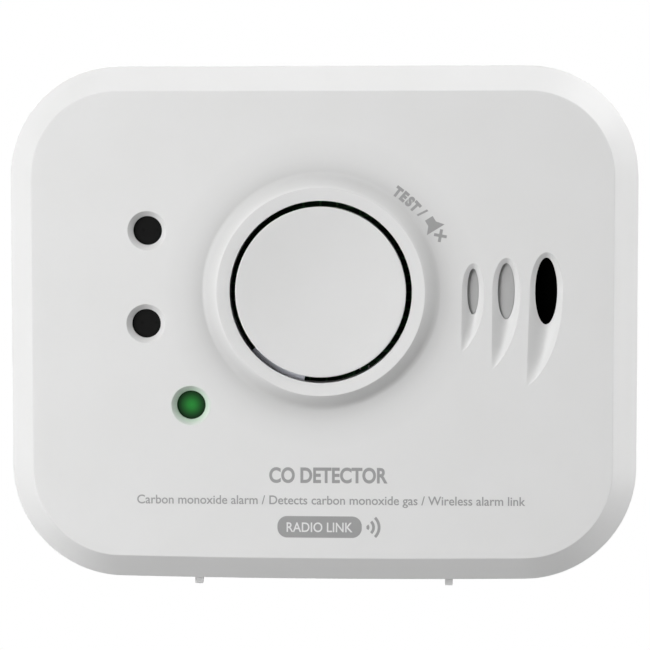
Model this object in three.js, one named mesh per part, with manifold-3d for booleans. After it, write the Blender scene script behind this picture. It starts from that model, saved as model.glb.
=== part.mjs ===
// Wall-mounted carbon monoxide alarm with a large test button, three status lights and a radio link.
//
// The parts are drawn in a frame seen from the front: x to the right, y up, z out of the wall into the room.
// The last lines turn that frame so that +Z is up, the front faces -Y and the wall is the plane Y = 0.
// All sizes are in millimetres.
import * as THREE from "three";
import { mergeVertices } from "three/addons/utils/BufferGeometryUtils.js";
import Module from "manifold-3d";

// Clearances
const GAP = 0.3; // between pieces that rest on each other
const SLIDE_GAP = 0.4; // round a piece that moves
const CUT = 1; // how far a cutting tool runs past the material

// Case
const WIDTH = 120;
const HEIGHT = 97.75;
const DEPTH = 38; // wall to the rim of the test button
const CORNER_RADIUS = 21.06;
const BOTTOM_BOW = 0.75; // how far the bottom edge swells in its middle
const BEVEL_WIDTH = 4.86;
const BEVEL_DEPTH = 5.5;
const WALL = 2.2;
const PARTING = 14; // joint line between the rear housing and the front cover
const LIP_WIDTH = 1.2;
const LIP_HEIGHT = 2.1;
const REAR_TAPER = 3;
const CORNER_STEPS = 8;
const EDGE_STEPS = 6;

// Mounting plate and its hooks
const PLATE_THICKNESS = 2.4;
const PLATE_INSET = 5;
const PLATE_GAP = 0.6;
const BACK_WALL = 2;
const SCREW_SLOT_WIDTH = 4;
const SCREW_SLOT_LENGTH = 12;
const SCREW_SLOT_SPACING = 60;
const SCREW_SLOT_Y = 6;
const HOOK_X = 36;
const HOOK_Y = 22;
const HOOK_WIDTH = 5;
const HOOK_HEIGHT = 3;
const HOOK_LIP = 2.5;
const HOOK_THICKNESS = 2;
const LIFT = 4; // travel that frees the hooks

// Boss round the test button
const BUTTON_X = 0;
const BUTTON_Y = 6.2;
const BUTTON_RADIUS = 16.1;
const BUTTON_GAP = 0.95;
const BUTTON_RISE = 2.5; // rim of the button above the case's front face
const BUTTON_DISH = 0.9;
const BUTTON_WALL = 1.8;
const BUTTON_SKIRT = 4.8;
const BUTTON_EDGE = 0.4;
const BOSS_LAND = 2.7; // width of the flat ring round the button
const BOSS_RISE = 2.2;
const BOSS_LAND_DROP = 0.3; // the ring falls slightly towards the button
const BOSS_FLANK = 1.35;
const BOSS_FILLET = 2.4;
const ROUND_STEPS = 40;

// Hinge strap of the button
const STRAP_START = THREE.MathUtils.degToRad(220.5);
const STRAP_END = THREE.MathUtils.degToRad(259);
const STRAP_REACH = 4.4; // beyond the button's edge
const STRAP_THICKNESS = 1.3;
const STRAP_DROP = 4.4; // rim of the button to the strap's back face

// Circuit board
const BOARD_THICKNESS = 1.6;
const BOARD_INSET = 6;
const POST_RADIUS = 4;
const POST_INSET = 12.4;
const POST_NOTCH = 1.6;
const SMALL_POST_RADIUS = 3;
const BOARD_POSTS = [[-4, 38], [-49, -12], [50, -14]];

// Screws
const CASE_SHANK = 1.25;
const CASE_HEAD = 2.6;
const CASE_HEAD_HEIGHT = 1.7;
const CASE_SEAT = 8; // level of the shoulder under a case screw's head
const CASE_SCREW_LENGTH = 12;
const BOARD_SHANK = 1;
const BOARD_HEAD = 2.2;
const BOARD_HEAD_HEIGHT = 1.4;
const BOARD_SCREW_LENGTH = 7;
const RECESS_WIDTH = 0.8;
const RECESS_DEPTH = 0.9;
const RECESS_SHARE = 1.3; // the recess's span as a share of the head's radius

// Status lights
const LIGHTS = [
  { name: "alarm", x: -33.04, y: 17.69 },
  { name: "fault", x: -33.35, y: 0.01 },
  { name: "power", x: -24.85, y: -15.54 },
];
const WINDOW_RADIUS = 2.75;
const WINDOW_RIM = 3.725;
const WINDOW_BEVEL = 1;
const WINDOW_LAND = 0.4;
const PIPE_HEAD = 3.4;
const PIPE_HEAD_HEIGHT = 1.5;
const PIPE_STEM = 2.2;
const LED_RADIUS = 1.5;
const LED_FLANGE = 1.9;
const LED_FLANGE_HEIGHT = 1;
const LED_HEIGHT = 4.6;

// Sound outlets: an elliptical slot each, in a scoop with a tail that runs down to a point
const VENTS = [
  { x: 28.69, y: 6.23, width: 2.14, height: 8.7, tail: 11.4, lean: 2.1 },
  { x: 34.95, y: 6.3, width: 3.2, height: 10.6, tail: 14.7, lean: 2.65 },
  { x: 42.48, y: 6.32, width: 4.2, height: 12.7, tail: 18, lean: 3.6 },
];
const SCOOP_MARGIN = 1;
const SCOOP_DEPTH = 1.4;
const SCREEN_MARGIN = 1.5; // the baffle's opening is this much larger than the widest slot

// Stand nibs under the case
const NIB_X = 24.3;
const NIB_WIDTH = 1.5;
const NIB_DROP = 1.75;
const NIB_DEPTH = 4;
const NIB_OUT = 27; // level of the nibs' front faces
const NIB_TIP = 1;

// Sounder
const SOUNDER_X = 36;
const SOUNDER_Y = 6.2;
const SOUNDER_RADIUS = 16;
const SOUNDER_WALL = 1.5;
const SOUNDER_GASKET = 1.2;
const GASKET_OVERLAP = 1;
const SOUNDER_LEDGE = 2;
const PIEZO_LEVEL = 24;
const PIEZO_THICKNESS = 0.4;
const CERAMIC_RADIUS = 9.5;

// Gas sensor
const SENSOR_X = 34;
const SENSOR_Y = -27;
const SENSOR_RADIUS = 10;
const SENSOR_HEIGHT = 10;
const SENSOR_EDGE = 0.8;
const SENSOR_STANDOFF = 2;
const SENSOR_CAP_RADIUS = 8.5;
const SENSOR_CAP_HEIGHT = 2;
const SENSOR_INLET = 1.2;
const SENSOR_PIN = 0.5;
const SENSOR_PIN_CIRCLE = 6;
const SENSOR_PINS = 3;
const SENSOR_PIN_TAIL = 1; // behind the board

// Battery
const CELL_X = -16;
const CELL_Y = -30;
const CELL_RADIUS = 7.25;
const CELL_LENGTH = 50;
const CELL_NUB = 1; // the positive terminal, on the left
const CELL_NUB_RADIUS = 2.5;
const CELL_HEADROOM = 2; // between the cell and the inside of the face
const CRADLE_WALL = 1.4;
const CRADLE_HEIGHT = 7;
const CRADLE_SHORTFALL = 3; // the cell stands out of each end of its cradle
const TAB_THICKNESS = 0.4;
const TAB_WIDTH = 6;

// Radio module
const RADIO_X = 28;
const RADIO_Y = 33;
const RADIO_WIDTH = 28;
const RADIO_HEIGHT = 15;
const RADIO_THICKNESS = 0.8;
const RADIO_STANDOFF = 4;
const SHIELD = { width: 14, height: 12, rise: 2.4, wall: 0.4, shift: 6 }; // shift is to the module's left
const HEADER = { width: 12, height: 2.5, shift: 4 };
const AERIAL_RADIUS = 2.5;
const AERIAL_WIRE = 0.4;
const AERIAL_LENGTH = 14;
const AERIAL_TURNS = 5;

// Test switch and activation switch
const SWITCH_SIZE = 6;
const SWITCH_HEIGHT = 3.5;
const PLUNGER_RADIUS = 1.7;
const PLUNGER_HEIGHT = 2; // above the switch body
const PRESS_GAP = 0.4; // between the button's post and the plunger
const ACTIVATOR_X = 22;
const ACTIVATOR_Y = 22;
const ACTIVATOR_SIZE = 7;
const ACTIVATOR_HEIGHT = 4.4;
const ACTIVATOR_RADIUS = 1.5;
const ACTIVATOR_REACH = 1.2; // the plunger's tip beyond its switch, pressed in
const ACTIVATOR_LENGTH = 3.2;
const ACTIVATOR_ROOF = 0.5;
const ACTIVATOR_WIRE = 0.15;
const ACTIVATOR_TURNS = 3;
const RAMP_WIDTH = 3;
const RAMP_SLOPE = 0.4;

// Other parts on the board
const CHIP = { x: -22, y: 33, size: 9, height: 1.2 };
const CAPACITOR = { x: -46, y: 11, radius: 4, height: 11.5, crimp: 0.3, crimpLevel: 1.8, crimpHalf: 0.4 };
const COIL = { x: 16, y: -17, radius: 4.5, waist: 3.6, height: 9, flange: 1 };

// Rear housing details
const LABEL = { y: -24, width: 58, height: 24, thickness: 0.3, recess: 0.7 };
const SIDE_SLOT = { count: 5, pitch: 6, width: 2, back: 8, front: 11.5 };

// Levels that follow from the sizes above, measured out of the wall
const FACE = DEPTH - BUTTON_RISE;
const FACE_INSIDE = FACE - WALL;
const STRAP_OUT = DEPTH - STRAP_DROP;
const BEVEL_FOOT = FACE - BEVEL_DEPTH;
const REAR_BACK = PLATE_THICKNESS + PLATE_GAP;
const REAR_FLOOR = REAR_BACK + BACK_WALL;
const CELL_AXIS = FACE_INSIDE - CELL_HEADROOM - CELL_RADIUS;
const ON_BOARD = CELL_AXIS - CELL_RADIUS - GAP - CRADLE_WALL; // where a part that sits on the board starts
const BOARD_FRONT = ON_BOARD - GAP;
const BOARD_BACK = BOARD_FRONT - BOARD_THICKNESS;
const ACTIVATOR_BACK = BOARD_BACK - GAP - ACTIVATOR_HEIGHT;
const ACTIVATOR_TIP = ACTIVATOR_BACK - ACTIVATOR_REACH;
const RADIO_BACK = BOARD_FRONT + RADIO_STANDOFF;
const RADIO_FRONT = RADIO_BACK + RADIO_THICKNESS;
const SCREEN_FRONT = FACE_INSIDE - GAP; // the baffle and the sounder's gasket lie behind the face
const SCREEN_BACK = SCREEN_FRONT - SOUNDER_GASKET;
const SCREEN_EDGE = SOUNDER_RADIUS - SOUNDER_WALL - GASKET_OVERLAP; // the gasket's inner edge
const BORE_RADIUS = BUTTON_RADIUS + BUTTON_GAP;
const POST_X = WIDTH / 2 - POST_INSET;
const POST_Y = HEIGHT / 2 - POST_INSET;
const CORNERS = [[-POST_X, POST_Y], [POST_X, POST_Y], [-POST_X, -POST_Y], [POST_X, -POST_Y]];
const PLUNGER_TOP = ON_BOARD + SWITCH_HEIGHT + PLUNGER_HEIGHT;

const wasm = await Module();
wasm.setup();

// ---- Solids ----

function toSolid(geometry) {
  const bare = geometry.clone();
  bare.deleteAttribute("normal");
  bare.deleteAttribute("uv");
  const merged = mergeVertices(bare, 1e-4);
  return new wasm.Manifold(
    new wasm.Mesh({
      numProp: 3,
      vertProperties: new Float32Array(merged.attributes.position.array),
      triVerts: new Uint32Array(merged.index.array),
    }),
  );
}

function toGeometry(solid) {
  const mesh = solid.getMesh();
  const geometry = new THREE.BufferGeometry();
  geometry.setAttribute("position", new THREE.BufferAttribute(mesh.vertProperties, 3));
  geometry.setIndex(new THREE.BufferAttribute(mesh.triVerts, 1));
  return geometry;
}

function join(base, pieces) {
  return toGeometry(pieces.reduce((solid, piece) => solid.add(toSolid(piece)), toSolid(base)));
}

function cut(base, tools) {
  return toGeometry(tools.reduce((solid, tool) => solid.subtract(toSolid(tool)), toSolid(base)));
}

function common(first, second) {
  return toGeometry(toSolid(first).intersect(toSolid(second)));
}

// A box between two x, y and z values
function block([left, right], [low, high], [back, front]) {
  const geometry = new THREE.BoxGeometry(right - left, high - low, front - back);
  return geometry.translate((left + right) / 2, (low + high) / 2, (back + front) / 2);
}

// A box of a given width and height round a centre, between two levels
function blockAt(x, y, width, height, back, front) {
  return block([x - width / 2, x + width / 2], [y - height / 2, y + height / 2], [back, front]);
}

// A round rod out of the wall, between two levels
function rod(x, y, radius, back, front, steps = 14) {
  const geometry = new THREE.CylinderGeometry(radius, radius, front - back, steps);
  return geometry.rotateX(Math.PI / 2).translate(x, y, (back + front) / 2);
}

// A turned piece: [radius, level] points, counter-clockwise with the axis on the left
function turned(x, y, profile, steps = 16) {
  const points = profile.map(([radius, level]) => new THREE.Vector2(radius, level));
  return new THREE.LatheGeometry(points, steps).rotateX(Math.PI / 2).translate(x, y, 0);
}

function ring(x, y, outer, inner, back, front, steps = 28) {
  const profile = [[outer, back], [outer, front], [inner, front], [inner, back], [outer, back]];
  return turned(x, y, profile, steps);
}

function extruded(shape, back, front, steps = 6) {
  const options = { depth: front - back, bevelEnabled: false, curveSegments: steps };
  return new THREE.ExtrudeGeometry(shape, options).translate(0, 0, back);
}

// A sector of a ring, between two angles and two radii
function sector(x, y, inner, outer, start, end, back, front) {
  const shape = new THREE.Shape();
  shape.absarc(x, y, outer, start, end, false);
  shape.absarc(x, y, inner, end, start, true);
  return extruded(shape, back, front, 4);
}

function wireCoil(x, y, radius, wire, turns, back, front) {
  const stepsPerTurn = 9;
  const points = [];
  for (let i = 0; i <= turns * stepsPerTurn; i += 1) {
    const angle = (2 * Math.PI * i) / stepsPerTurn;
    const level = THREE.MathUtils.lerp(back + wire, front - wire, i / (turns * stepsPerTurn));
    points.push(new THREE.Vector3(x + radius * Math.cos(angle), y + radius * Math.sin(angle), level));
  }
  const section = new THREE.Shape();
  section.absarc(0, 0, wire, 0, 2 * Math.PI, false);
  return new THREE.ExtrudeGeometry(section, {
    steps: turns * stepsPerTurn,
    curveSegments: 3,
    extrudePath: new THREE.CatmullRomCurve3(points),
  });
}

// ---- The case's outline ----

// Points round the case, a distance inside its edge; the lower half swells down by the bow
function outline(inset) {
  const halfWidth = WIDTH / 2 - inset;
  const halfHeight = HEIGHT / 2 - inset;
  const radius = CORNER_RADIUS - inset;
  const points = [];
  for (let corner = 0; corner < 4; corner += 1) {
    const start = (corner * Math.PI) / 2;
    const centreX = (halfWidth - radius) * (corner === 0 || corner === 3 ? 1 : -1);
    const centreY = (halfHeight - radius) * (corner < 2 ? 1 : -1);
    for (let i = 0; i <= CORNER_STEPS; i += 1) {
      const angle = start + (i / CORNER_STEPS) * (Math.PI / 2);
      points.push([centreX + radius * Math.cos(angle), centreY + radius * Math.sin(angle)]);
    }
    for (let i = 1; corner === 2 && i < EDGE_STEPS; i += 1) {
      points.push([THREE.MathUtils.lerp(centreX, -centreX, i / EDGE_STEPS), -halfHeight]);
    }
  }
  return points.map(([x, y]) => [x, y - bowAt(x / halfWidth, y / halfHeight)]);
}

function bowAt(across, up) {
  return up < 0 ? BOTTOM_BOW * (1 - across * across) * up * up : 0;
}

// A closed solid through outlines: each section is [inset, level]
function loft(sections) {
  const rings = sections.map(([inset, level]) => outline(inset).map(([x, y]) => [x, y, level]));
  const count = rings[0].length;
  const faces = [];
  for (let row = 0; row + 1 < rings.length; row += 1) {
    for (let i = 0; i < count; i += 1) {
      const a = row * count + i;
      const b = row * count + ((i + 1) % count);
      faces.push(a, b, b + count, a, b + count, a + count);
    }
  }
  const last = (rings.length - 1) * count;
  for (let i = 1; i + 1 < count; i += 1) {
    faces.push(0, i + 1, i, last, last + i, last + i + 1);
  }
  const geometry = new THREE.BufferGeometry();
  geometry.setAttribute("position", new THREE.Float32BufferAttribute(rings.flat(2), 3));
  geometry.setIndex(faces);
  return geometry;
}

function band(outer, inner, back, front) {
  return cut(loft([[outer, back], [outer, front]]), [loft([[inner, back - CUT], [inner, front + CUT]])]);
}

// ---- Mounting plate ----

function mountingPlate() {
  const plate = loft([[PLATE_INSET, 0], [PLATE_INSET, PLATE_THICKNESS]]);
  const hooks = hookPlaces().flatMap(([x, y]) => hook(x, y));
  return cut(join(plate, [...hooks, ramp()]), [screwSlot(-1), screwSlot(1)]);
}

function hookPlaces() {
  return [[-HOOK_X, HOOK_Y], [HOOK_X, HOOK_Y], [-HOOK_X, -HOOK_Y], [HOOK_X, -HOOK_Y]];
}

// A stem through the rear housing's slot, with a lip that stands up behind its back wall
function hook(x, y) {
  const lipBack = REAR_FLOOR + GAP;
  const lipFront = lipBack + HOOK_THICKNESS;
  const stem = blockAt(x, y, HOOK_WIDTH, HOOK_HEIGHT, PLATE_THICKNESS / 2, lipFront);
  const lip = block(
    [x - HOOK_WIDTH / 2, x + HOOK_WIDTH / 2],
    [y, y + HOOK_HEIGHT / 2 + HOOK_LIP],
    [lipBack, lipFront],
  );
  return [stem, lip];
}

// The wedge that keeps the activation plunger pressed in while the alarm hangs on the plate
function ramp() {
  const land = ACTIVATOR_TIP - GAP;
  const run = LIFT + ACTIVATOR_RADIUS;
  const side = new THREE.Shape();
  side.moveTo(ACTIVATOR_Y - ACTIVATOR_RADIUS, PLATE_THICKNESS / 2);
  side.lineTo(ACTIVATOR_Y + run, PLATE_THICKNESS / 2);
  side.lineTo(ACTIVATOR_Y + run, land - RAMP_SLOPE * run);
  side.lineTo(ACTIVATOR_Y, land);
  side.lineTo(ACTIVATOR_Y - ACTIVATOR_RADIUS, land);
  const wedge = extruded(side, -RAMP_WIDTH / 2, RAMP_WIDTH / 2);
  const upright = new THREE.Matrix4().makeBasis(
    new THREE.Vector3(0, 1, 0),
    new THREE.Vector3(0, 0, 1),
    new THREE.Vector3(1, 0, 0),
  );
  return wedge.applyMatrix4(upright).translate(ACTIVATOR_X, 0, 0);
}

function screwSlot(side) {
  const x = (side * SCREW_SLOT_SPACING) / 2;
  const radius = SCREW_SLOT_WIDTH / 2;
  const reach = SCREW_SLOT_LENGTH / 2 - radius;
  const shape = new THREE.Shape();
  shape.absarc(x, SCREW_SLOT_Y + reach, radius, 0, Math.PI, false);
  shape.absarc(x, SCREW_SLOT_Y - reach, radius, Math.PI, 2 * Math.PI, false);
  return extruded(shape, -CUT, PLATE_THICKNESS + CUT, 3);
}

// ---- Rear housing ----

function rearHousing() {
  const top = PARTING - GAP;
  const lipInset = WALL + GAP;
  const shell = cut(
    loft([[REAR_TAPER, REAR_BACK], [0, REAR_BACK + REAR_TAPER], [0, top]]),
    [loft([[REAR_TAPER + WALL, REAR_FLOOR], [WALL, REAR_FLOOR + REAR_TAPER], [WALL, top + CUT]])],
  );
  const root = band(WALL / 2, lipInset + LIP_WIDTH, top - LIP_HEIGHT, top);
  const lip = band(lipInset, lipInset + LIP_WIDTH, top - LIP_HEIGHT / 2, PARTING + LIP_HEIGHT);
  const posts = CORNERS.map(([x, y]) => rod(x, y, POST_RADIUS, REAR_BACK + BACK_WALL / 2, top));
  return cut(join(shell, [root, lip, ...posts]), [
    ...CORNERS.map(([x, y]) => rod(x, y, CASE_HEAD + SLIDE_GAP, REAR_BACK - CUT, CASE_SEAT)),
    ...CORNERS.map(([x, y]) => rod(x, y, CASE_SHANK + GAP, REAR_BACK, PARTING)),
    ...hookPlaces().map(([x, y]) => hookSlot(x, y)),
    rampSlot(),
    labelRecess(),
    ...sideSlots(),
  ]);
}

function hookSlot(x, y) {
  const half = HOOK_WIDTH / 2 + SLIDE_GAP;
  const low = y - HOOK_HEIGHT / 2 - LIFT - SLIDE_GAP;
  const high = y + HOOK_HEIGHT / 2 + GAP;
  return block([x - half, x + half], [low, high], [REAR_BACK - CUT, REAR_FLOOR + CUT]);
}

function rampSlot() {
  const half = RAMP_WIDTH / 2 + SLIDE_GAP;
  const low = ACTIVATOR_Y - ACTIVATOR_RADIUS - LIFT - SLIDE_GAP;
  const high = ACTIVATOR_Y + LIFT + ACTIVATOR_RADIUS + GAP;
  return block([ACTIVATOR_X - half, ACTIVATOR_X + half], [low, high], [REAR_BACK - CUT, REAR_FLOOR + CUT]);
}

function labelRecess() {
  const width = LABEL.width + 2 * GAP;
  const height = LABEL.height + 2 * GAP;
  return blockAt(0, LABEL.y, width, height, REAR_BACK - CUT, REAR_BACK + LABEL.recess);
}

function rearLabel() {
  const front = REAR_BACK + LABEL.recess - GAP;
  return blockAt(0, LABEL.y, LABEL.width, LABEL.height, front - LABEL.thickness, front);
}

// Openings in both side walls that let the room's air reach the gas sensor
function sideSlots() {
  const slots = [];
  for (let i = 0; i < SIDE_SLOT.count; i += 1) {
    const y = (i - (SIDE_SLOT.count - 1) / 2) * SIDE_SLOT.pitch;
    for (const side of [-1, 1]) {
      const x = side * (WIDTH / 2 - WALL / 2);
      const depth = 2 * (WALL + LIP_WIDTH + CUT);
      slots.push(blockAt(x, y, depth, SIDE_SLOT.width, SIDE_SLOT.back, SIDE_SLOT.front));
    }
  }
  return slots;
}

// ---- Front cover ----

function frontCover() {
  const bossTop = FACE + BOSS_RISE;
  const solid = join(loft([[0, PARTING], [0, BEVEL_FOOT], [BEVEL_WIDTH, FACE]]), [boss(bossTop), ...nibs()]);
  const shell = cut(solid, [coverHollow()]);
  const posts = [
    ...CORNERS.map(([x, y]) => rod(x, y, POST_RADIUS, PARTING, FACE - WALL / 2)),
    ...BOARD_POSTS.map(([x, y]) => rod(x, y, SMALL_POST_RADIUS, ON_BOARD, FACE - WALL / 2)),
  ];
  return cut(join(shell, posts), [
    rod(BUTTON_X, BUTTON_Y, BORE_RADIUS, FACE_INSIDE - CUT, DEPTH + CUT, ROUND_STEPS),
    strapPocket(),
    ...LIGHTS.map(({ x, y }) => windowHole(x, y)),
    ...VENTS.flatMap((vent) => [ventSlot(vent, 0, FACE_INSIDE - CUT, FACE + CUT), scoop(vent)]),
    ...CORNERS.map(([x, y]) => rod(x, y, CASE_SHANK + GAP, PARTING - CUT, CASE_SEAT + CASE_SCREW_LENGTH)),
    ...BOARD_POSTS.map(([x, y]) => boardScrewHole(x, y)),
  ]);
}

function boardScrewHole(x, y) {
  return rod(x, y, BOARD_SHANK + GAP, ON_BOARD - CUT, BOARD_BACK + BOARD_SCREW_LENGTH);
}

// The inside of the cover keeps the wall's thickness behind the bevel
function coverHollow() {
  const slant = Math.hypot(BEVEL_WIDTH, BEVEL_DEPTH);
  const bevelStart = BEVEL_FOOT - (WALL * (slant - BEVEL_DEPTH)) / BEVEL_WIDTH;
  const faceInset = (WALL * slant + (FACE_INSIDE - BEVEL_FOOT) * BEVEL_WIDTH) / BEVEL_DEPTH;
  return loft([[WALL, PARTING - CUT], [WALL, bevelStart], [faceInset, FACE_INSIDE]]);
}

// The raised ring round the button: a flat land, a sloping flank and a hollow fillet down to the face
function boss(top) {
  const landEdge = BORE_RADIUS + BOSS_LAND;
  const flankFoot = landEdge + BOSS_FLANK;
  const filletRise = BOSS_RISE - BOSS_FLANK;
  const steps = 3;
  const profile = [[BORE_RADIUS / 2, FACE_INSIDE], [flankFoot + BOSS_FILLET, FACE_INSIDE]];
  for (let i = 0; i <= steps; i += 1) {
    const along = i / steps;
    profile.push([flankFoot + BOSS_FILLET * (1 - along), FACE + filletRise * along * along]);
  }
  profile.push([landEdge, top], [BORE_RADIUS / 2, top - BOSS_LAND_DROP], [BORE_RADIUS / 2, FACE_INSIDE]);
  return turned(BUTTON_X, BUTTON_Y, profile, ROUND_STEPS);
}

function strapPocket() {
  const slack = SLIDE_GAP / BUTTON_RADIUS;
  const outer = BUTTON_RADIUS + STRAP_REACH + SLIDE_GAP;
  const start = STRAP_START - slack;
  const end = STRAP_END + slack;
  const front = STRAP_OUT + STRAP_THICKNESS + GAP;
  return sector(BUTTON_X, BUTTON_Y, BUTTON_RADIUS, outer, start, end, FACE_INSIDE - CUT, front);
}

// A bevelled window for a status light, with a wider seat behind it for the light pipe's head
function windowHole(x, y) {
  const seat = FACE - WINDOW_BEVEL - WINDOW_LAND;
  const head = PIPE_HEAD + GAP;
  const slope = (WINDOW_RIM - WINDOW_RADIUS) / WINDOW_BEVEL;
  return turned(
    x,
    y,
    [
      [0, FACE_INSIDE - CUT],
      [head, FACE_INSIDE - CUT],
      [head, seat],
      [WINDOW_RADIUS, seat],
      [WINDOW_RADIUS, FACE - WINDOW_BEVEL],
      [WINDOW_RIM + slope * CUT, FACE + CUT],
      [0, FACE + CUT],
    ],
    18,
  );
}

function ventSlot({ x, y, width, height }, margin, back, front) {
  const shape = new THREE.Shape();
  shape.absellipse(x, y, width / 2 + margin, height / 2 + margin, 0, 2 * Math.PI, false);
  return extruded(shape, back, front, 12);
}

// The hollow round a slot: deepest along the slot's top, rising to the face at the tip of its tail
function scoop({ x, y, width, height, tail, lean }) {
  const across = width / 2 + SCOOP_MARGIN;
  const up = height / 2 + SCOOP_MARGIN;
  const shape = new THREE.Shape();
  shape.moveTo(x - lean, y - tail);
  shape.bezierCurveTo(x, y - tail * 0.75, x + across, y - tail * 0.45, x + across, y);
  shape.absellipse(x, y, across, up, 0, Math.PI, false);
  const outer = extruded(shape, FACE - SCOOP_DEPTH - CUT, FACE + CUT, 5);
  const fall = Math.atan2(SCOOP_DEPTH, tail + up);
  const length = 2 * (tail + up);
  const above = new THREE.BoxGeometry(length, length, length);
  above.translate(0, length / 2, length / 2).rotateX(-fall).translate(x, y - tail, FACE);
  return common(outer, above);
}

function nibs() {
  return [-NIB_X, NIB_X].map((x) => {
    const low = -HEIGHT / 2 - bowAt(x / (WIDTH / 2), -1);
    const side = new THREE.Shape();
    side.moveTo(NIB_OUT - NIB_DEPTH, low + WALL / 2);
    side.lineTo(NIB_OUT - NIB_DEPTH, low);
    side.lineTo(NIB_OUT - NIB_TIP, low - NIB_DROP);
    side.lineTo(NIB_OUT, low - NIB_DROP);
    side.lineTo(NIB_OUT, low + WALL / 2);
    const nib = extruded(side, -NIB_WIDTH / 2, NIB_WIDTH / 2);
    const upright = new THREE.Matrix4().makeBasis(
      new THREE.Vector3(0, 0, 1),
      new THREE.Vector3(0, 1, 0),
      new THREE.Vector3(-1, 0, 0),
    );
    return nib.applyMatrix4(upright).translate(x, 0, 0);
  });
}

// ---- Test button and switches ----

// A dished cap with a skirt, a post over the test switch and the strap that it hinges on
function testButton() {
  const under = DEPTH - BUTTON_DISH - BUTTON_WALL;
  const skirt = BUTTON_RADIUS - BUTTON_WALL;
  const postTip = PLUNGER_TOP + PRESS_GAP;
  const postRadius = PLUNGER_RADIUS + GAP;
  const edge = BUTTON_EDGE;
  const profile = [
    [0, postTip],
    [postRadius - edge, postTip],
    [postRadius, postTip + edge],
    [postRadius, under],
    [skirt, under],
    [skirt, DEPTH - BUTTON_SKIRT],
    [BUTTON_RADIUS, DEPTH - BUTTON_SKIRT],
    [BUTTON_RADIUS, DEPTH - edge],
    [BUTTON_RADIUS - edge, DEPTH],
  ];
  const steps = 3;
  for (let i = 1; i <= steps; i += 1) {
    const out = 1 - i / steps;
    profile.push([(BUTTON_RADIUS - edge) * out, DEPTH - BUTTON_DISH * (1 - out * out)]);
  }
  const cap = turned(BUTTON_X, BUTTON_Y, profile, ROUND_STEPS);
  const outer = BUTTON_RADIUS + STRAP_REACH;
  const front = STRAP_OUT + STRAP_THICKNESS;
  const inner = skirt + BUTTON_WALL / 2;
  const strap = sector(BUTTON_X, BUTTON_Y, inner, outer, STRAP_START, STRAP_END, STRAP_OUT, front);
  return join(cap, [strap]);
}

function testSwitchBody() {
  const front = ON_BOARD + SWITCH_HEIGHT;
  const body = blockAt(BUTTON_X, BUTTON_Y, SWITCH_SIZE, SWITCH_SIZE, ON_BOARD, front);
  return cut(body, [rod(BUTTON_X, BUTTON_Y, PLUNGER_RADIUS + GAP, ON_BOARD + CUT, front + CUT)]);
}

function switchPlunger() {
  const back = ON_BOARD + CUT + GAP + PLUNGER_HEIGHT / 2;
  return rod(BUTTON_X, BUTTON_Y, PLUNGER_RADIUS, back, PLUNGER_TOP);
}

function activationSwitchBody() {
  const front = BOARD_BACK - GAP;
  const body = blockAt(ACTIVATOR_X, ACTIVATOR_Y, ACTIVATOR_SIZE, ACTIVATOR_SIZE, ACTIVATOR_BACK, front);
  const roof = front - ACTIVATOR_ROOF;
  return cut(body, [rod(ACTIVATOR_X, ACTIVATOR_Y, ACTIVATOR_RADIUS + GAP, ACTIVATOR_BACK - CUT, roof)]);
}

function activationPlunger() {
  const steps = 5;
  const profile = [];
  for (let i = 0; i <= steps; i += 1) {
    const angle = (i / steps) * (Math.PI / 2);
    const level = ACTIVATOR_TIP + ACTIVATOR_RADIUS * (1 - Math.cos(angle));
    profile.push([ACTIVATOR_RADIUS * Math.sin(angle), level]);
  }
  profile.push([ACTIVATOR_RADIUS, ACTIVATOR_TIP + ACTIVATOR_LENGTH], [0, ACTIVATOR_TIP + ACTIVATOR_LENGTH]);
  return turned(ACTIVATOR_X, ACTIVATOR_Y, profile, 12);
}

function activationSpring() {
  const back = ACTIVATOR_TIP + ACTIVATOR_LENGTH + GAP;
  const front = BOARD_BACK - GAP - ACTIVATOR_ROOF - GAP;
  const radius = ACTIVATOR_RADIUS - GAP;
  return wireCoil(ACTIVATOR_X, ACTIVATOR_Y, radius, ACTIVATOR_WIRE, ACTIVATOR_TURNS, back, front);
}

// ---- Circuit board and the parts on it ----

function mainBoard() {
  const halfWidth = WIDTH / 2 - BOARD_INSET;
  const halfHeight = HEIGHT / 2 - BOARD_INSET;
  const notchX = POST_X - POST_RADIUS - POST_NOTCH;
  const notchY = POST_Y - POST_RADIUS - POST_NOTCH;
  const shape = new THREE.Shape(
    [
      [notchX, -halfHeight],
      [notchX, -notchY],
      [halfWidth, -notchY],
      [halfWidth, notchY],
      [notchX, notchY],
      [notchX, halfHeight],
      [-notchX, halfHeight],
      [-notchX, notchY],
      [-halfWidth, notchY],
      [-halfWidth, -notchY],
      [-notchX, -notchY],
      [-notchX, -halfHeight],
    ].map(([x, y]) => new THREE.Vector2(x, y)),
  );
  return cut(extruded(shape, BOARD_BACK, BOARD_FRONT), [
    ...BOARD_POSTS.map(([x, y]) => rod(x, y, BOARD_SHANK + GAP, BOARD_BACK - CUT, BOARD_FRONT + CUT)),
    ...sensorPinPlaces().map(([x, y]) => {
      return rod(x, y, SENSOR_PIN + GAP, BOARD_BACK - CUT, BOARD_FRONT + CUT, 12);
    }),
  ]);
}

function lightPipe({ x, y }) {
  const front = FACE - WINDOW_BEVEL - WINDOW_LAND - GAP;
  const shoulder = front - PIPE_HEAD_HEIGHT;
  const back = ON_BOARD + LED_HEIGHT + GAP;
  return turned(x, y, [[0, back], [PIPE_STEM, back], [PIPE_STEM, shoulder], [PIPE_HEAD, shoulder],
    [PIPE_HEAD, front], [0, front]], 18);
}

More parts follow.
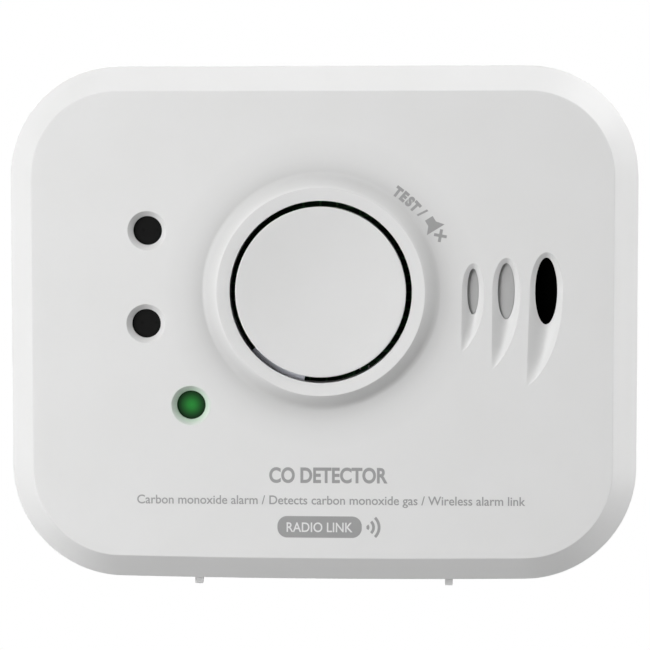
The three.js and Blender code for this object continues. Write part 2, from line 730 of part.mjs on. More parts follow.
function statusLed({ x, y }) {
  const dome = ON_BOARD + LED_HEIGHT - LED_RADIUS;
  const shoulder = ON_BOARD + LED_FLANGE_HEIGHT;
  const profile = [[0, ON_BOARD], [LED_FLANGE, ON_BOARD], [LED_FLANGE, shoulder], [LED_RADIUS, shoulder]];
  const steps = 4;
  for (let i = 0; i <= steps; i += 1) {
    const angle = (i / steps) * (Math.PI / 2);
    profile.push([LED_RADIUS * Math.cos(angle), dome + LED_RADIUS * Math.sin(angle)]);
  }
  return turned(x, y, profile, 12);
}

function sounderHousing() {
  const rim = SCREEN_BACK - GAP;
  const inner = SOUNDER_RADIUS - SOUNDER_WALL;
  const ledge = inner - SOUNDER_LEDGE;
  const seat = PIEZO_LEVEL - GAP;
  return turned(SOUNDER_X, SOUNDER_Y, [[0, ON_BOARD], [SOUNDER_RADIUS, ON_BOARD], [SOUNDER_RADIUS, rim],
    [inner, rim], [inner, seat], [ledge, seat], [ledge, ON_BOARD + SOUNDER_WALL],
    [0, ON_BOARD + SOUNDER_WALL]], 32);
}

function piezoDisc() {
  const radius = SOUNDER_RADIUS - SOUNDER_WALL - GAP;
  return rod(SOUNDER_X, SOUNDER_Y, radius, PIEZO_LEVEL, PIEZO_LEVEL + PIEZO_THICKNESS, 32);
}

function piezoCeramic() {
  const back = PIEZO_LEVEL + PIEZO_THICKNESS + GAP;
  return rod(SOUNDER_X, SOUNDER_Y, CERAMIC_RADIUS, back, back + PIEZO_THICKNESS, 32);
}

function sounderGasket() {
  return ring(SOUNDER_X, SOUNDER_Y, SOUNDER_RADIUS, SCREEN_EDGE, SCREEN_BACK, SCREEN_FRONT);
}

// The baffle behind the sound outlets, open only behind the widest one
function ventScreen() {
  const disc = rod(SOUNDER_X, SOUNDER_Y, SCREEN_EDGE - GAP, SCREEN_BACK, SCREEN_FRONT, 28);
  return cut(disc, [ventSlot(VENTS[VENTS.length - 1], SCREEN_MARGIN, SCREEN_BACK - CUT, FACE_INSIDE)]);
}

function sensorCan() {
  const back = BOARD_FRONT + SENSOR_STANDOFF;
  const front = back + SENSOR_HEIGHT;
  const edge = SENSOR_EDGE;
  return turned(SENSOR_X, SENSOR_Y, [[0, back], [SENSOR_RADIUS, back], [SENSOR_RADIUS, front - edge],
    [SENSOR_RADIUS - edge, front], [0, front]], 28);
}

function sensorCap() {
  const back = BOARD_FRONT + SENSOR_STANDOFF + SENSOR_HEIGHT + GAP;
  return ring(SENSOR_X, SENSOR_Y, SENSOR_CAP_RADIUS, SENSOR_INLET, back, back + SENSOR_CAP_HEIGHT, 28);
}

function sensorPinPlaces() {
  return Array.from({ length: SENSOR_PINS }, (_, i) => {
    const angle = (2 * Math.PI * i) / SENSOR_PINS + Math.PI / 2;
    const x = SENSOR_X + SENSOR_PIN_CIRCLE * Math.cos(angle);
    return [x, SENSOR_Y + SENSOR_PIN_CIRCLE * Math.sin(angle)];
  });
}

function sensorPin([x, y]) {
  return rod(x, y, SENSOR_PIN, BOARD_BACK - SENSOR_PIN_TAIL, BOARD_FRONT + SENSOR_STANDOFF - GAP, 10);
}

// ---- Battery ----

function cellSolid(radius, length) {
  const geometry = new THREE.CylinderGeometry(radius, radius, length, 24);
  return geometry.rotateZ(Math.PI / 2).translate(CELL_X, CELL_Y, CELL_AXIS);
}

function batteryCell() {
  const can = cellSolid(CELL_RADIUS, CELL_LENGTH - CELL_NUB).translate(CELL_NUB / 2, 0, 0);
  const nub = cellSolid(CELL_NUB_RADIUS, 2 * CELL_NUB).translate(CELL_NUB - CELL_LENGTH / 2, 0, 0);
  return join(can, [nub]);
}

function batteryCradle() {
  const length = CELL_LENGTH - 2 * CRADLE_SHORTFALL;
  const width = 2 * (CELL_RADIUS + GAP + CRADLE_WALL);
  const trough = blockAt(CELL_X, CELL_Y, length, width, ON_BOARD, ON_BOARD + CRADLE_HEIGHT);
  return cut(trough, [cellSolid(CELL_RADIUS + GAP, CELL_LENGTH)]);
}

function batteryTab(side) {
  const near = CELL_X + side * (CELL_LENGTH / 2 + GAP);
  const far = near + side * TAB_THICKNESS;
  const sides = [Math.min(near, far), Math.max(near, far)];
  const half = TAB_WIDTH / 2;
  return block(sides, [CELL_Y - half, CELL_Y + half], [ON_BOARD, CELL_AXIS + half]);
}

// ---- Radio module ----

function radioBoard() {
  return blockAt(RADIO_X, RADIO_Y, RADIO_WIDTH, RADIO_HEIGHT, RADIO_BACK, RADIO_FRONT);
}

function radioShield() {
  const { width, height, rise, wall, shift } = SHIELD;
  const x = RADIO_X - shift;
  const back = RADIO_FRONT + GAP;
  const front = back + rise;
  const can = blockAt(x, RADIO_Y, width, height, back, front);
  return cut(can, [blockAt(x, RADIO_Y, width - 2 * wall, height - 2 * wall, back - CUT, front - wall)]);
}

function radioAerial() {
  const x = RADIO_X + RADIO_WIDTH / 2 - 2 * AERIAL_RADIUS;
  const half = AERIAL_LENGTH / 2;
  const level = RADIO_FRONT + GAP + AERIAL_RADIUS + AERIAL_WIRE;
  const coil = wireCoil(0, 0, AERIAL_RADIUS, AERIAL_WIRE, AERIAL_TURNS, -half, half);
  return coil.rotateX(Math.PI / 2).translate(x, RADIO_Y, level);
}

function radioHeader() {
  const { width, height, shift } = HEADER;
  const y = RADIO_Y - (RADIO_HEIGHT - height) / 2;
  return blockAt(RADIO_X - shift, y, width, height, ON_BOARD, RADIO_BACK - GAP);
}

// ---- Other parts on the board ----

function microcontroller() {
  return blockAt(CHIP.x, CHIP.y, CHIP.size, CHIP.size, ON_BOARD, ON_BOARD + CHIP.height);
}

function bufferCapacitor() {
  const { x, y, radius, height, crimp, crimpLevel, crimpHalf } = CAPACITOR;
  const groove = ON_BOARD + crimpLevel;
  return turned(x, y, [[0, ON_BOARD], [radius, ON_BOARD], [radius, groove - crimpHalf],
    [radius - crimp, groove], [radius, groove + crimpHalf], [radius, ON_BOARD + height],
    [0, ON_BOARD + height]], 18);
}

function sounderCoil() {
  const { x, y, radius, waist, height, flange } = COIL;
  const front = ON_BOARD + height;
  return turned(x, y, [[0, ON_BOARD], [radius, ON_BOARD], [radius, ON_BOARD + flange],
    [waist, ON_BOARD + flange], [waist, front - flange], [radius, front - flange], [radius, front],
    [0, front]], 18);
}

// ---- Screws ----

// A screw driven in from the back, with a cross recess in its head
function screw([x, y], shank, head, headHeight, seat, length) {
  const under = seat - GAP;
  const profile = [[0, under - headHeight], [head, under - headHeight], [head, under], [shank, under],
    [shank, seat + length - shank - GAP], [0, seat + length - GAP]];
  const top = under - headHeight;
  const reach = head * RECESS_SHARE;
  const across = blockAt(x, y, reach, RECESS_WIDTH, top - CUT, top + RECESS_DEPTH);
  const upright = blockAt(x, y, RECESS_WIDTH, reach, top - CUT, top + RECESS_DEPTH);
  return cut(turned(x, y, profile, 12), [across, upright]);
}

// ---- Assembly ----

function plastic(color, roughness = 0.5) {
  return new THREE.MeshStandardMaterial({ color, roughness, metalness: 0 });
}

function metal(color, roughness = 0.3) {
  return new THREE.MeshStandardMaterial({ color, roughness, metalness: 1 });
}

const WHITE = 0xe9e9e7;
const device = new THREE.Group();
device.rotation.x = Math.PI / 2;

function place(name, geometry, material) {
  const mesh = new THREE.Mesh(geometry, material);
  mesh.name = name;
  device.add(mesh);
}

place("mounting_plate", mountingPlate(), plastic(WHITE));
place("rear_housing", rearHousing(), plastic(WHITE));
place("rear_label", rearLabel(), plastic(0xd8dadb));
place("front_cover", frontCover(), plastic(WHITE, 0.42));
place("test_button", testButton(), plastic(0xe6e7e6, 0.42));
place("vent_screen", ventScreen(), plastic(0xa9abac));
LIGHTS.forEach((light) => place(`${light.name}_light_pipe`, lightPipe(light), plastic(0x202224, 0.2)));
LIGHTS.forEach((light) => place(`${light.name}_led`, statusLed(light), plastic(0xc9d4c4, 0.2)));
place("main_board", mainBoard(), plastic(0x1f6b3a));
place("test_switch_body", testSwitchBody(), plastic(0x25262a));
place("switch_plunger", switchPlunger(), plastic(0x3a3b3f));
place("activation_switch_body", activationSwitchBody(), plastic(0x25262a));
place("activation_plunger", activationPlunger(), plastic(0xe8e8e4));
place("activation_spring", activationSpring(), metal(0xb9bcc0));
place("microcontroller", microcontroller(), plastic(0x1b1c1f));
place("sounder_housing", sounderHousing(), plastic(0x2b2c30));
place("sounder_gasket", sounderGasket(), plastic(0x3b3b3b, 0.9));
place("piezo_disc", piezoDisc(), metal(0xc9a24a));
place("piezo_ceramic", piezoCeramic(), metal(0xcfd2d4));
place("sounder_coil", sounderCoil(), plastic(0x2a2321));
place("buffer_capacitor", bufferCapacitor(), plastic(0x23305c, 0.4));
place("gas_sensor_can", sensorCan(), metal(0xb4b7ba));
place("gas_sensor_cap", sensorCap(), plastic(0xf0efe9));
sensorPinPlaces().forEach((pin, i) => place(`gas_sensor_pin_${i + 1}`, sensorPin(pin), metal(0xc9b37a)));
place("battery_cell", batteryCell(), plastic(0x3d6fa8, 0.35));
place("battery_cradle", batteryCradle(), plastic(0x2b2c30));
place("battery_tab_left", batteryTab(-1), metal(0xc4c6c8));
place("battery_tab_right", batteryTab(1), metal(0xc4c6c8));
place("radio_board", radioBoard(), plastic(0x20508c));
place("radio_shield", radioShield(), metal(0xc4c6c8));
place("radio_aerial", radioAerial(), metal(0xc98a5a));
place("radio_header", radioHeader(), plastic(0x1b1c1f));
BOARD_POSTS.forEach((post, i) => {
  const geometry = screw(post, BOARD_SHANK, BOARD_HEAD, BOARD_HEAD_HEIGHT, BOARD_BACK, BOARD_SCREW_LENGTH);
  place(`board_screw_${i + 1}`, geometry, metal(0xb9bcc0));
});
CORNERS.forEach((post, i) => {
  const geometry = screw(post, CASE_SHANK, CASE_HEAD, CASE_HEAD_HEIGHT, CASE_SEAT, CASE_SCREW_LENGTH);
  place(`case_screw_${i + 1}`, geometry, metal(0x8d9094));
});

export default device;
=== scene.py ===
import math

import bpy
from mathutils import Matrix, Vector


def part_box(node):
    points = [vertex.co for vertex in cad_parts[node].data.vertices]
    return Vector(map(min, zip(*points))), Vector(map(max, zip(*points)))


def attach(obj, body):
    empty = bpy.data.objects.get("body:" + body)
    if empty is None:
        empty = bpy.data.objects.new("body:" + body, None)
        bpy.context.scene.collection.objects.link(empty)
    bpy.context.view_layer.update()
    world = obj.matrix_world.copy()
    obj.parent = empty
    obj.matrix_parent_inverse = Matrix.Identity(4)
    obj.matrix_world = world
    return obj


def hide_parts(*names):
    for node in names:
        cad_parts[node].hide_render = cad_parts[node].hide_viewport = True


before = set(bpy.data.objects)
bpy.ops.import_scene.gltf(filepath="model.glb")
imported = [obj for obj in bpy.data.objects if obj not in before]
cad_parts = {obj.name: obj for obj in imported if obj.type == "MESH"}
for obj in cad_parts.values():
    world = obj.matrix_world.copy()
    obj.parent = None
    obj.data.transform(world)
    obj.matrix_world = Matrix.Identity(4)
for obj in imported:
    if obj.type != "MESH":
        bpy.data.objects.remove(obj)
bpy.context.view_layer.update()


# ---- Camera, light and stage ----
# The alarm hangs in front of a plain white studio. A long lens looks at it from a little above and
# to the right. The key light stands at the left, with weaker soft lights all round its edge.

MM = 0.001
WHITE = (1, 1, 1, 1)
BUTTON_LOW, BUTTON_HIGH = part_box("test_button")
RIM = BUTTON_LOW.y
CAMERA_LENS = 132.42
CAMERA_PLACE = (0.024186, RIM - 0.448311, 0.031782)
CAMERA_TURN = (85.9557, 0.0321, 2.975)
STUDIO_GLOW = 0.02
STUDIO_RADIUS = 6
FLOOR_RADIUS = 4
FLOOR_LEVEL = -0.6
LIGHT_DISTANCE = 1.2
LIGHT_SIZE = 0.9
# The lights at each tilt from the front: their turns anticlockwise from the right, and their watts.
STUDIO_LIGHTS = {
    35: [(180, 11.8)],
    65: [(180, 2.5), (135, 2.6), (45, 3.0)],
    88: [(0, 4.6), (45, 3.9)],
    108: [(45, 5.1), (90, 2.2), (0, 1.7), (315, 2.9), (270, 1.1), (225, 1.2), (180, 0.9), (135, 1.0)],
    150: [(140, 8), (30, 4)],
}


def add_object(name, data):
    """A new object in the scene."""
    piece = bpy.data.objects.new(name, data)
    bpy.context.scene.collection.objects.link(piece)
    return piece


def set_inputs(tree, node, **inputs):
    """Links each named input to another node's output, or sets its value. A _ is a space in a name."""
    for name, value in inputs.items():
        socket = node.inputs[name.replace("_", " ")]
        if isinstance(value, bpy.types.NodeSocket):
            tree.links.new(value, socket)
        else:
            socket.default_value = value
    return node


def add_node(tree, kind, **inputs):
    return set_inputs(tree, tree.nodes.new("ShaderNode" + kind), **inputs)


def studio_light(tilt, turn, watts):
    """A soft round light that looks at the middle of the alarm's front."""
    name = f"light_{tilt}_{turn}"
    tilt = math.radians(tilt)
    turn = math.radians(turn)
    away = Vector((math.sin(tilt) * math.cos(turn), -math.cos(tilt), math.sin(tilt) * math.sin(turn)))
    light_data = bpy.data.lights.new(name, "AREA")
    light_data.shape = "DISK"
    light_data.size = LIGHT_SIZE
    light_data.energy = watts
    light = add_object(name, light_data)
    light.location = Vector((0, RIM, 0)) + away * LIGHT_DISTANCE
    light.rotation_euler = (-away).to_track_quat("-Z", "Y").to_euler()


def glowing_stage(name):
    """Makes the newest mesh a white stage piece that the camera sees and that lights nothing."""
    piece = bpy.context.object
    piece.name = name
    material = bpy.data.materials.new(name)
    material.use_nodes = True
    tree = material.node_tree
    tree.nodes.remove(tree.nodes["Principled BSDF"])
    glow = add_node(tree, "Emission", Color=WHITE, Strength=1.0)
    set_inputs(tree, tree.nodes["Material Output"], Surface=glow.outputs["Emission"])
    piece.data.materials.append(material)
    piece.visible_diffuse = False
    piece.visible_glossy = False
    piece.visible_transmission = False
    piece.visible_shadow = False


camera_data = bpy.data.cameras.new("camera")
camera_data.sensor_width = 36
camera_data.lens = CAMERA_LENS
camera = add_object("camera", camera_data)
camera.location = CAMERA_PLACE
camera.rotation_euler = [math.radians(angle) for angle in CAMERA_TURN]
bpy.context.scene.camera = camera
bpy.context.scene.view_settings.view_transform = "Standard"
world = bpy.data.worlds.new("studio")
world.use_nodes = True
set_inputs(world.node_tree, world.node_tree.nodes["Background"], Color=WHITE, Strength=STUDIO_GLOW)
bpy.context.scene.world = world
for tilt, lights_at_tilt in STUDIO_LIGHTS.items():
    for turn, watts in lights_at_tilt:
        studio_light(tilt, turn, watts)
bpy.ops.mesh.primitive_uv_sphere_add(radius=STUDIO_RADIUS, segments=64, ring_count=32)
glowing_stage("studio_wall")
bpy.ops.mesh.primitive_circle_add(
    radius=FLOOR_RADIUS, vertices=96, fill_type="NGON", location=(0, 0, FLOOR_LEVEL)
)
glowing_stage("studio_floor")


# ---- Mounting plate ----
# A white moulded plate, held to the wall by two screws in upright slots. Four hooks carry the alarm,
# and a small ramp presses its activation switch for as long as it hangs there.

COVER_LOW, COVER_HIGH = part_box("front_cover")
HALF_WIDTH = COVER_HIGH.x
HALF_HEIGHT = COVER_HIGH.z
CORNER_RADIUS = 21.06 * MM
CORNER_STEPS = 28
BOTTOM_BOW = 0.75 * MM
BOTTOM_STEPS = 24
# Cutters pass a surface by CUT, and two places closer than NEAR are the same.
CUT = 1 * MM
NEAR = 1e-6
SMOOTH_ANGLE = 30
QUARTERS = [(-1, -1), (-1, 1), (1, -1), (1, 1)]
PLATE_INSET = 5 * MM
PLATE_FRONT = -2.4 * MM
PLATE_EDGE = 0.5 * MM
HOOK_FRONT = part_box("mounting_plate")[0].y
HOOK_LIP_BACK = HOOK_FRONT + 2 * MM
HOOK_X = 36 * MM
HOOK_Z = 22 * MM
HOOK_WIDTH = 5 * MM
HOOK_HEIGHT = 3 * MM
HOOK_LIP = 2.5 * MM
HOOK_ROUND = 0.6 * MM
HOOK_EDGE = 0.25 * MM
SCREW_SLOT_X = 30 * MM
SCREW_SLOT_Z = 6 * MM
SCREW_SLOT_WIDTH = 4 * MM
SCREW_SLOT_LENGTH = 12 * MM
SCREW_SLOT_SINK = 0.7 * MM
SCREW_SLOT_MARGIN = 4 * MM
TIP_LOW, TIP_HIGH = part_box("activation_plunger")
RAMP_LAND = TIP_HIGH.y + 0.3 * MM
RAMP_WIDTH = 3 * MM
RAMP_BELOW = 1.5 * MM
RAMP_RUN = 5.5 * MM
RAMP_FALL = 2.2 * MM
# How far away a surface still darkens the white plastics' colour as painted shade.
PAINTED_SHADE_REACH = 6 * MM


def middle(low, high):
    """The x and z of a box's middle, and half of its width."""
    return (low.x + high.x) / 2, (low.z + high.z) / 2, (high.x - low.x) / 2


def select_only(piece):
    bpy.ops.object.select_all(action="DESELECT")
    bpy.context.view_layer.objects.active = piece
    piece.select_set(True)


def leave_edit():
    bpy.ops.object.mode_set(mode="OBJECT")


def pick(piece, kind, test):
    """Selects the faces, edges or vertices that pass a test, and stays in edit mode."""
    select_only(piece)
    bpy.ops.object.mode_set(mode="EDIT")
    bpy.ops.mesh.select_all(action="DESELECT")
    bpy.ops.mesh.select_mode(type={"faces": "FACE", "edges": "EDGE", "vertices": "VERT"}[kind])
    leave_edit()
    mesh = piece.data
    for element in {"faces": mesh.polygons, "edges": mesh.edges, "vertices": mesh.vertices}[kind]:
        element.select = test(element)
    bpy.ops.object.mode_set(mode="EDIT")


def settle(piece, location=(0, 0, 0), turn=(0, 0, 0), scale=(1, 1, 1)):
    """Puts a place, a turn and a scale into a piece's mesh."""
    piece.location = location
    piece.rotation_euler = turn
    piece.scale = scale
    select_only(piece)
    bpy.ops.object.transform_apply(location=True, rotation=True, scale=True)


def edge_ends(piece, edge):
    return [piece.data.vertices[i].co for i in edge.vertices]


def block(name, x, z, width, height, back, front):
    """A block round a place on the wall, between two levels in y."""
    bpy.ops.mesh.primitive_cube_add(size=1)
    piece = bpy.context.object
    piece.name = name
    settle(piece, (x, (back + front) / 2, z), scale=(width, abs(back - front), height))
    return piece


def round_edges(piece, test, radius, segments=3):
    """Bevels the edges that pass a test on their two ends."""
    pick(piece, "edges", lambda edge: test(*edge_ends(piece, edge)))
    bpy.ops.mesh.bevel(offset=radius, offset_type="OFFSET", segments=segments, profile=0.5, affect="EDGES")
    leave_edit()


def both_at(y):
    """A test for edges that lie level at one y value."""
    return lambda first, second: abs(first.y - y) < NEAR and abs(second.y - y) < NEAR


def runs_deep(first, second):
    """A test for edges that run from back to front."""
    return abs(first.y - second.y) > NEAR


def case_block(name, inset, back, front):
    """A block of the case's outline, a distance inside its edge: round corners and a bowed bottom."""
    half_width = HALF_WIDTH - inset
    half_height = HALF_HEIGHT - inset
    piece = block(name, 0, 0, 2 * half_width, 2 * half_height, back, front)
    round_edges(piece, runs_deep, CORNER_RADIUS - inset, CORNER_STEPS)

    def runs_along_bottom(edge):
        first, second = edge_ends(piece, edge)
        level = abs(first.z - second.z) < NEAR and first.z < 0
        return level and abs(first.x - second.x) > half_width

    pick(piece, "edges", runs_along_bottom)
    bpy.ops.mesh.subdivide(number_cuts=BOTTOM_STEPS)
    leave_edit()
    for vertex in piece.data.vertices:
        if vertex.co.z < 0:
            across = vertex.co.x / half_width
            down = vertex.co.z / half_height
            vertex.co.z -= BOTTOM_BOW * (1 - across * across) * down * down
    return piece


def apply_modifier(piece, kind, **settings):
    modifier = piece.modifiers.new(kind, kind)
    for name, value in settings.items():
        setattr(modifier, name, value)
    select_only(piece)
    bpy.ops.object.modifier_apply(modifier=modifier.name)


def weld(base, other, operation="UNION"):
    """Joins another solid to a base, or combines them as told, and takes the other away."""
    apply_modifier(base, "BOOLEAN", operation=operation, solver="EXACT", object=other)
    bpy.data.objects.remove(other, do_unlink=True)


def cut(base, cutter):
    weld(base, cutter, "DIFFERENCE")


def smooth(piece):
    """Shades a finished piece smoothly, its flat faces kept flat."""
    select_only(piece)
    bpy.ops.object.shade_smooth_by_angle(angle=math.radians(SMOOTH_ANGLE))
    apply_modifier(piece, "WEIGHTED_NORMAL", mode="FACE_AREA", weight=100, keep_sharp=True)


def hook(x, z):
    """A stem through the rear housing, with a lip that stands up behind its back wall."""
    stem = block("stem", x, z, HOOK_WIDTH, HOOK_HEIGHT, PLATE_FRONT / 2, HOOK_FRONT)
    rise = HOOK_HEIGHT / 2 + HOOK_LIP
    lip = block("lip", x, z + rise / 2, HOOK_WIDTH, rise, HOOK_LIP_BACK, HOOK_FRONT)
    round_edges(lip, lambda first, second: min(first.z, second.z) > z + rise - NEAR, HOOK_ROUND)
    weld(stem, lip)
    round_edges(stem, both_at(HOOK_FRONT), HOOK_EDGE, 2)
    return stem


def ramp():
    """The wedge that keeps the activation plunger pressed in."""
    z = RAMP_Z + (RAMP_RUN - RAMP_BELOW) / 2
    wedge = block("ramp", RAMP_X, z, RAMP_WIDTH, RAMP_RUN + RAMP_BELOW, PLATE_FRONT / 2, RAMP_LAND)
    pick(wedge, "faces", lambda face: face.normal.y < -0.9)
    bpy.ops.mesh.bisect(plane_co=(RAMP_X, RAMP_LAND, RAMP_Z), plane_no=(0, 0, 1))
    leave_edit()
    for vertex in wedge.data.vertices:
        if abs(vertex.co.y - RAMP_LAND) < NEAR and vertex.co.z > RAMP_Z + NEAR:
            vertex.co.y += RAMP_FALL
    return wedge


def shader_of(name):
    """A new node material: its node tree, its shader and its Object coordinates."""
    material = bpy.data.materials.new(name)
    material.use_nodes = True
    tree = material.node_tree
    return material, tree, tree.nodes["Principled BSDF"], add_node(tree, "TexCoord").outputs["Object"]


def noise_on(tree, place, scale, detail=3, stretch=(1, 1, 1)):
    """A noise pattern, drawn out along an axis where the finish has a direction."""
    mapping = add_node(tree, "Mapping", Vector=place, Scale=stretch)
    noise = add_node(tree, "TexNoise", Vector=mapping.outputs["Vector"], Scale=scale, Detail=detail)
    return noise.outputs["Fac"]


def ramp_on(tree, source, stops, steps=False):
    """A colour ramp from [position, colour] stops, smooth or in steps."""
    node = add_node(tree, "ValToRGB", Fac=source)
    node.color_ramp.interpolation = "CONSTANT" if steps else "LINEAR"
    elements = node.color_ramp.elements
    while len(elements) < len(stops):
        elements.new(0.5)
    for element, (position, colour) in zip(elements, stops):
        element.position = position
        element.color = (*colour, 1)
    return node.outputs["Color"]


def range_on(tree, noise, low, high):
    """Spreads the values of a noise over a range."""
    spread = add_node(tree, "MapRange", Value=noise, From_Min=0.3, From_Max=0.7, To_Min=low, To_Max=high)
    return spread.outputs["Result"]


def bump_on(tree, source, shader, height, strength=0.4):
    """Raises a shader's surface by a pattern, to a height in millimetres."""
    bump = add_node(tree, "Bump", Strength=strength, Distance=height * MM, Height=source)
    set_inputs(tree, shader, Normal=bump.outputs["Normal"])


def mix_on(tree, first, second, blend="MULTIPLY", factor=1):
    node = tree.nodes.new("ShaderNodeMix")
    node.data_type = "RGBA"
    node.blend_type = blend
    set_inputs(tree, node, Factor=factor, A=first, B=second)
    return node.outputs["Result"]


def white_plastic(name, colour=0.805, roughness=0.42, grain=0.012, deepest=0.5):
    """Satin white ABS: a fine spark-eroded grain, uneven gloss and tone, and painted shade that darkens its
    creases, recesses and gaps.
    """
    material, tree, shader, place = shader_of(name)
    dull = (colour * 0.985, colour * 0.985, colour * 0.98)
    tone = ramp_on(tree, noise_on(tree, place, 90), [(0.3, dull), (0.7, (colour, colour, colour * 0.998))])
    # Painted shade: the colour darkens where other surfaces stand near. It never falls below deepest, so 0
    # lets it reach black and 1 paints none.
    crease = add_node(tree, "AmbientOcclusion", Distance=PAINTED_SHADE_REACH)
    crease.samples = 12
    painted_crease_shade = add_node(tree, "MapRange", Value=crease.outputs["AO"], To_Min=deepest)
    base = mix_on(tree, tone, painted_crease_shade.outputs["Result"])
    gloss = range_on(tree, noise_on(tree, place, 260, 4), roughness - 0.04, roughness + 0.04)
    set_inputs(tree, shader, Specular_IOR_Level=0.35, Base_Color=base, Roughness=gloss)
    bump_on(tree, noise_on(tree, place, 4200, 2), shader, grain, 0.25)
    return material


def finish(piece, material, slot, *nodes, body="alarm_unit", even=True):
    """Shades a piece, gives it a material and a body, and hides the CAD nodes that it stands for; its slot is
    not used.
    """
    if even:
        smooth(piece)
    piece.data.materials.clear()
    piece.data.materials.append(material)
    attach(piece, body)
    if nodes:
        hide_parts(*nodes)


RAMP_X, RAMP_Z, _ = middle(TIP_LOW, TIP_HIGH)
plate = case_block("mounting_plate_moulding", PLATE_INSET, 0, PLATE_FRONT)
round_edges(plate, both_at(PLATE_FRONT), PLATE_EDGE)
for side, end in QUARTERS:
    weld(plate, hook(side * HOOK_X, end * HOOK_Z))
weld(plate, ramp())
for side in (-1, 1):
    for margin, back in ((SCREW_SLOT_MARGIN, PLATE_FRONT + SCREW_SLOT_SINK), (0, CUT)):
        width = SCREW_SLOT_WIDTH + margin
        length = SCREW_SLOT_LENGTH + margin
        slot = block("slot", side * SCREW_SLOT_X, SCREW_SLOT_Z, width, length, back, PLATE_FRONT - CUT)
        round_edges(slot, runs_deep, width / 2 * 0.999, 12)
        cut(plate, slot)
plate_plastic = white_plastic("plate_plastic", 0.78, 0.5, 0.02)
finish(plate, plate_plastic, "plate", "mounting_plate", body="mounting_plate")


# ---- Rear housing ----
# The white moulded back of the case. It tapers towards the wall, has slots for the hooks and for air
# in both sides, a recess for the label, and four counterbored posts that take the case screws.

WALL = 2.2 * MM
HOUSING_LOW, HOUSING_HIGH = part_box("rear_housing")
HOUSING_BACK = HOUSING_HIGH.y
HOUSING_TAPER = 3 * MM
TAPER_FOOT = HOUSING_BACK - HOUSING_TAPER
PARTING = COVER_HIGH.y
HOUSING_RIM = PARTING + 0.3 * MM
HOUSING_FLOOR = HOUSING_BACK - 2 * MM
HOUSING_CREASE = 0.6 * MM
LIP_INSET = WALL + 0.3 * MM
LIP_WIDTH = 1.2 * MM
LIP_HEIGHT = 2.1 * MM
POST_X = HALF_WIDTH - 12.4 * MM
POST_Z = HALF_HEIGHT - 12.4 * MM
POST_RADIUS = 4 * MM
SCREW_BORE = 1.55 * MM
HEAD_BORE = 3 * MM
HEAD_SEAT = -8 * MM
HOOK_SLACK = 0.4 * MM
HOOK_HEADROOM = 0.3 * MM
LIFT = 4 * MM
OPENING_CORNER = 0.5 * MM
LABEL_LOW, LABEL_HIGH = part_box("rear_label")
LABEL_MARGIN = 0.3 * MM
LABEL_CORNER = 1.2 * MM
SIDE_SLOTS = 5
SIDE_SLOT_PITCH = 6 * MM
SIDE_SLOT_WIDTH = 2 * MM
SIDE_SLOT_ROUND = 0.95 * MM
SIDE_SLOT_BACK = -8 * MM
SIDE_SLOT_FRONT = -11.5 * MM


def shrink_end(piece, y, inset, depth):
    """Slopes the rim of a block's flat end: a crisp bevel of a given width and depth."""
    mesh = piece.data
    pick(piece, "faces", lambda face: all(abs(mesh.vertices[i].co.y - y) < NEAR for i in face.vertices))
    bpy.ops.mesh.inset(thickness=inset, depth=depth, use_even_offset=True)
    leave_edit()


def turned_solid(name, x, z, profile, steps=96, angle=360, start=0):
    """Spins [radius, y] points round an axis that runs in y; a part turn needs a closed profile."""
    mesh = bpy.data.meshes.new(name)
    points = [(radius, y, 0) for radius, y in profile]
    if angle == 360:
        mesh.from_pydata(points, [(i, i + 1) for i in range(len(points) - 1)], [])
    else:
        mesh.from_pydata(points, [], [range(len(points))])
    piece = add_object(name, mesh)
    pick(piece, "vertices", lambda vertex: True)
    bpy.ops.mesh.spin(steps=steps, angle=math.radians(angle), center=(0, 0, 0), axis=(0, 1, 0))
    bpy.ops.mesh.select_all(action="SELECT")
    bpy.ops.mesh.remove_doubles(threshold=NEAR)
    bpy.ops.mesh.normals_make_consistent(inside=False)
    leave_edit()
    settle(piece, (x, 0, z), (0, -math.radians(start), 0))
    return piece


def rod(name, x, z, radius, back, front, steps=48):
    return turned_solid(name, x, z, [[0, back], [radius, back], [radius, front], [0, front]], steps)


def case_band(name, outer, inner, back, front):
    """A ring of the case's outline between two insets."""
    band = case_block(name, outer, back, front)
    cut(band, case_block("inner", inner, back + CUT, front - CUT))
    return band


def back_opening(x, width, low, high):
    """Cuts a slot in the back wall for what reaches from low to high, room to lift included."""
    low -= LIFT + HOOK_SLACK
    high += HOOK_HEADROOM
    width += 2 * HOOK_SLACK
    back = HOUSING_BACK + CUT
    slot = block("opening", x, (low + high) / 2, width, high - low, back, HOUSING_FLOOR - CUT)
    round_edges(slot, runs_deep, OPENING_CORNER, 4)
    cut(housing, slot)


housing = case_block("rear_housing_moulding", 0, TAPER_FOOT, HOUSING_RIM)
shrink_end(housing, TAPER_FOOT, HOUSING_TAPER, HOUSING_TAPER)
round_edges(housing, both_at(HOUSING_BACK), HOUSING_CREASE)
round_edges(housing, both_at(TAPER_FOOT), HOUSING_CREASE)
hollow_foot = HOUSING_FLOOR - HOUSING_TAPER
housing_hollow = case_block("hollow", WALL, hollow_foot, HOUSING_RIM - CUT)
shrink_end(housing_hollow, hollow_foot, HOUSING_TAPER, HOUSING_TAPER)
cut(housing, housing_hollow)
lip_end = LIP_INSET + LIP_WIDTH
weld(housing, case_band("root", WALL / 2, lip_end, HOUSING_RIM + LIP_HEIGHT, HOUSING_RIM))
weld(housing, case_band("lip", LIP_INSET, lip_end, HOUSING_RIM + LIP_HEIGHT / 2, HOUSING_LOW.y))
corners = [(side * POST_X, end * POST_Z) for end in (1, -1) for side in (-1, 1)]
